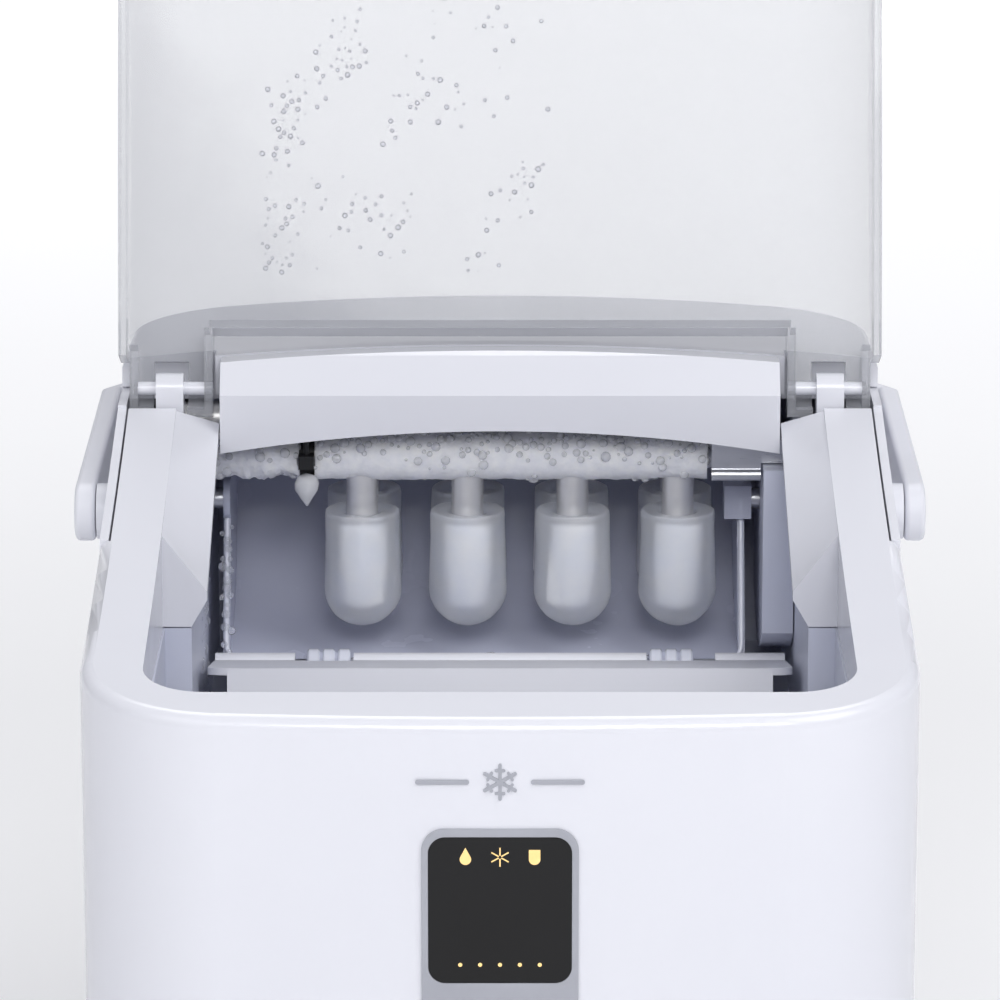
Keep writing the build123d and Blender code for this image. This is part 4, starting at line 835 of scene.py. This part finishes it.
# %% A flat print on the front, from loops of points
def printed(name, loops, depth_y, material, body, thick=0.06 * MM):
    """Each loop of (x, z) points becomes a thin plate that faces the front."""
    shape = bmesh.new()
    for loop in loops:
        face = shape.faces.new([shape.verts.new((x, depth_y, z)) for x, z in loop])
        face.normal_update()
        if face.normal.y > 0:
            face.normal_flip()
        made = bmesh.ops.extrude_face_region(shape, geom=[face])
        bmesh.ops.translate(
            shape, verts=[v for v in made["geom"] if isinstance(v, bmesh.types.BMVert)], vec=(0, -thick, 0)
        )
    bmesh.ops.recalc_face_normals(shape, faces=shape.faces)
    mesh = bpy.data.meshes.new(name)
    shape.to_mesh(mesh)
    shape.free()
    mesh.materials.append(material)
    piece = place_object(name, mesh)
    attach(piece, body)
    print(name, len(loops), "marks")
    return piece


def ring_loop(x, z, radius, width, start=0.0, end=2 * math.pi, steps=36):
    """A band of a circle as one loop of points, open or nearly closed."""
    angles = [start + (end - start) * k / steps for k in range(steps + 1)]
    outer = [(x + radius * math.sin(a), z + radius * math.cos(a)) for a in angles]
    hollow = radius - width
    return outer + [(x + hollow * math.sin(a), z + hollow * math.cos(a)) for a in reversed(angles)]


def dot_loop(x, z, radius, steps=20):
    """A filled round dot."""
    angles = (2 * math.pi * k / steps for k in range(steps))
    return [(x + radius * math.cos(a), z + radius * math.sin(a)) for a in angles]


# %% Marks on the two keys
# Screen ink, mid grey: matt, so that it reads on the glossy key.
key_ink = moulded("pad_print_grey", "55565E", "5F6068", (0.55, 0.70), 6, 0.5, 0.000005)
for key, gap in (("power_button", 0.6), ("select_button", 0.02)):
    key_lo, key_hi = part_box(key)
    x, z = (key_lo.x + key_hi.x) / 2, (key_lo.z + key_hi.z) / 2
    loops = [ring_loop(x, z, 2.4 * MM, 0.45 * MM, gap, 2 * math.pi - gap)]
    if key == "power_button":
        half, low, high = 0.22 * MM, z + 0.4 * MM, z + 2.8 * MM
        loops.append([(x - half, low), (x + half, low), (x + half, high), (x - half, high)])
    else:
        loops.append(dot_loop(x, z, 0.7 * MM))
    printed("mark_on_" + key, loops, key_lo.y, key_ink, body_of(nodes[key])[0])

# %% Lit symbols in the window
lens_lo, lens_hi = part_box("display_lens")
glow, tree, surface, place = blank_finish("lit_symbol_amber", Roughness=0.5, Emission_Strength=0.8)
mottle(tree, place, surface.inputs["Base Color"], 2, "C9A86A", "E2C68C")
surface.inputs["Emission Color"].default_value = linear("D8B878")
lens_top = lens_hi.z
symbols = [dot_loop(k * 5.2 * MM, lens_lo.z + 5.0 * MM, 0.55 * MM) for k in range(-2, 3)]
drop_x, symbol_z = -9.0 * MM, lens_top - 6.0 * MM
DROP_R = 1.5 * MM
symbols.append(
    [(drop_x + DROP_R * math.cos(a), symbol_z + DROP_R * math.sin(a))
     for a in (math.pi * (0.85 + 1.3 * k / 16) for k in range(17))] + [(drop_x, symbol_z + 3.2 * MM)]
)
bullet_x = 9.0 * MM
symbols.append(
    [(bullet_x + DROP_R * math.cos(a), symbol_z + DROP_R * math.sin(a))
     for a in (math.pi * (1 + k / 12) for k in range(13))]
    + [(bullet_x + DROP_R, symbol_z + 2.6 * MM), (bullet_x - DROP_R, symbol_z + 2.6 * MM)]
)
flake_z = symbol_z + 0.6 * MM
for k in range(6):
    across, along = math.cos(math.pi / 3 * k) * MM, math.sin(math.pi / 3 * k) * MM
    arm = [(-0.18, 0.4), (0.18, 0.4), (0.18, 2.6), (-0.18, 2.6)]
    symbols.append([(a * across + b * along, flake_z + b * across - a * along) for a, b in arm])
lens_body = body_of(nodes["display_lens"])[0]
symbol_piece = printed("window_symbols", symbols, lens_lo.y, glow, lens_body, 0.04 * MM)

# %% [markdown]
# ## Screws
# The shell is held by cross-head screws: six under the base and six in the back panel. One screw head
# is turned on the lathe and its cross is cut with a boolean; a tree then stands it on a point with a
# normal for each place, so every head faces out of its wall.

# %% One screw head with a cross recess
SCREW_R, SCREW_HIGH = 3.0 * MM, 1.1 * MM
head_outline = [(0.0, 0.0), (SCREW_R, 0.0), (SCREW_R, SCREW_HIGH * 0.4)]
head_outline += [(SCREW_R * math.cos(a), SCREW_HIGH * (0.4 + 0.6 * math.sin(a)))
                 for a in (math.pi / 2 * k / 6 for k in range(1, 6))] + [(0.0, SCREW_HIGH)]
head = place_object("one_screw", lathe("one_screw", head_outline, Vector((0, 0, 0)), steps=28))
cutter_shape = bmesh.new()
for long, wide in ((1.8, 0.5), (0.5, 1.8)):
    raised = Matrix.Translation((0, 0, SCREW_HIGH))
    place = raised @ Matrix.Diagonal((long * 2 * MM, wide * 2 * MM, SCREW_HIGH, 1.0))
    bmesh.ops.create_cube(cutter_shape, size=1.0, matrix=place)
cutter_mesh = bpy.data.meshes.new("cross_cutter")
cutter_shape.to_mesh(cutter_mesh)
cutter_shape.free()
cutter = place_object("cross_cutter", cutter_mesh)
cut = head.modifiers.new("cross", "BOOLEAN")
cut.operation, cut.object, cut.solver, cut.use_self = "DIFFERENCE", cutter, "EXACT", True
graph = bpy.context.evaluated_depsgraph_get()
head_mesh = bpy.data.meshes.new_from_object(head.evaluated_get(graph), depsgraph=graph)
for leftover in (head, cutter):
    bpy.data.objects.remove(leftover)
screw_seed = place_object("cross_head", head_mesh)

# %% Screws on the base and on the back panel
tree, given = new_tree("set_screws", Screw="Object", Seed="Int")
shape = add_node(tree, "GeometryNodeObjectInfo", links={"Object": given["Screw"]})
outward = add_node(tree, "GeometryNodeInputNamedAttribute", {"data_type": "FLOAT_VECTOR", "Name": "outward"})
face_out = add_node(tree, "FunctionNodeAlignEulerToVector", {"axis": "Z"},
                    {"Vector": outward.outputs["Attribute"]})
spin = add_node(tree, "FunctionNodeRandomValue", {"data_type": "FLOAT_VECTOR", 0: (0, 0, 0), 1: (0, 0, 1.5)},
                {"Seed": given["Seed"]})
turned = add_node(tree, "FunctionNodeRotateEuler", {"space": "LOCAL"},
                  {"Rotation": face_out.outputs[0], "Rotate By": spin.outputs[0]})
stand = add_node(
    tree, "GeometryNodeInstanceOnPoints",
    links={"Points": given["Geometry"], "Instance": shape.outputs["Geometry"],
           "Rotation": turned.outputs[0]},
)
screw_tree = end_tree(tree, stand.outputs[0], finishes["stainless"], smooth=False)

base_lo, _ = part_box("base_pan")
_, back_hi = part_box("rear_panel")
SCREW_SINK = 0.15 * MM
base_spots = [(x * MM, y * MM, base_lo.z + SCREW_SINK, (0, 0, -1))
              for x in (-60, 60) for y in (-118, 0, 116)]
back_spots = [(x * MM, back_hi.y - SCREW_SINK, z * MM, (0, 1, 0)) for x in (-76, 76) for z in (36, 196, 262)]
for name, spots in (("base_screws", base_spots), ("back_screws", back_spots)):
    points = bpy.data.meshes.new(name)
    points.from_pydata([spot[:3] for spot in spots], [], [])
    layer = points.attributes.new("outward", "FLOAT_VECTOR", "POINT")
    for k, spot in enumerate(spots):
        layer.data[k].vector = spot[3]
    screws = grow(name, points, screw_tree, Screw=screw_seed, Seed=2)
    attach(screws, housing_body)
bpy.data.objects.remove(screw_seed)

# %% [markdown]
# ## Studio
# A wide pale floor and four soft lamps: a broad one overhead to the right, a weaker one from the left,
# one in front that opens up the shadows inside the mouth, and one behind that lights the paper there.

# %% Floor
FLOOR_R, RINGS, SPOKES = 14.0, 12, 64
floor_shape = bmesh.new()
middle = floor_shape.verts.new((0, 0, 0))
inner = None
for ring in range(1, RINGS + 1):
    reach = FLOOR_R * (ring / RINGS) ** 2
    outer = [floor_shape.verts.new((reach * math.cos(a), reach * math.sin(a), 0))
             for a in (2 * math.pi * k / SPOKES for k in range(SPOKES))]
    for k in range(SPOKES):
        after = (k + 1) % SPOKES
        if inner:
            floor_shape.faces.new((inner[k], outer[k], outer[after], inner[after]))
        else:
            floor_shape.faces.new((middle, outer[k], outer[after]))
    inner = outer
floor_mesh = bpy.data.meshes.new("studio_floor")
floor_shape.to_mesh(floor_mesh)
floor_shape.free()
floor_mesh.shade_smooth()
floor = place_object("studio_floor", floor_mesh)
# Seamless paper: matt white. Its far parts have lamps of their own, stood in for by a faint glow that
# starts well outside the machine, so that the shadow it stands in stays true.
floor_finish, tree, surface, place = blank_finish("seamless_paper", Roughness=0.9)
mottle(tree, place, surface.inputs["Base Color"], 400, "F7F7F8", "FBFBFC")
grain(tree, place, surface, 3.0, 0.00005)
distance = add_node(tree, "ShaderNodeVectorMath", {"operation": "LENGTH", 0: (0, 0, 0)})
tree.links.new(place, distance.inputs[0])
reach = add_node(tree, "ShaderNodeMapRange", {"From Min": 0.7, "From Max": 2.6, "To Min": 0.0, "To Max": 0.5},
                 {"Value": distance.outputs["Value"]})
surface.inputs["Emission Color"].default_value = linear("FCFCFD")
tree.links.new(reach.outputs["Result"], surface.inputs["Emission Strength"])
floor_mesh.materials.append(floor_finish)

# %% Lamps and sky
TARGET = Vector((0, 0, 0.25))
for name, where, size, power, aim in (
    ("key_lamp", Vector((0.9, -0.7, 1.7)), 1.3, 12.5, TARGET),
    ("fill_lamp", Vector((-1.2, -1.3, 1.5)), 1.4, 5.0, TARGET),
    ("front_lamp", Vector((0.1, -2.0, 1.5)), 0.9, 17.0, TARGET),
    ("backdrop_lamp", Vector((0.0, 1.5, 2.3)), 1.8, 21.0, Vector((0, 1.8, 0))),
):
    lamp_data = bpy.data.lights.new(name, "AREA")
    lamp_data.shape, lamp_data.size, lamp_data.energy = "DISK", size, power
    lamp = place_object(name, lamp_data)
    lamp.location = where
    lamp.rotation_euler = (aim - where).to_track_quat("-Z", "Y").to_euler()
    lamp.visible_camera = False

sky = bpy.data.worlds.new("studio_sky")
sky.use_nodes = True
sky.node_tree.nodes["Background"].inputs["Color"].default_value = linear("F3F4FA")
sky.node_tree.nodes["Background"].inputs["Strength"].default_value = 0.40
bpy.context.scene.world = sky
bpy.context.scene.view_settings.view_transform = "Standard"
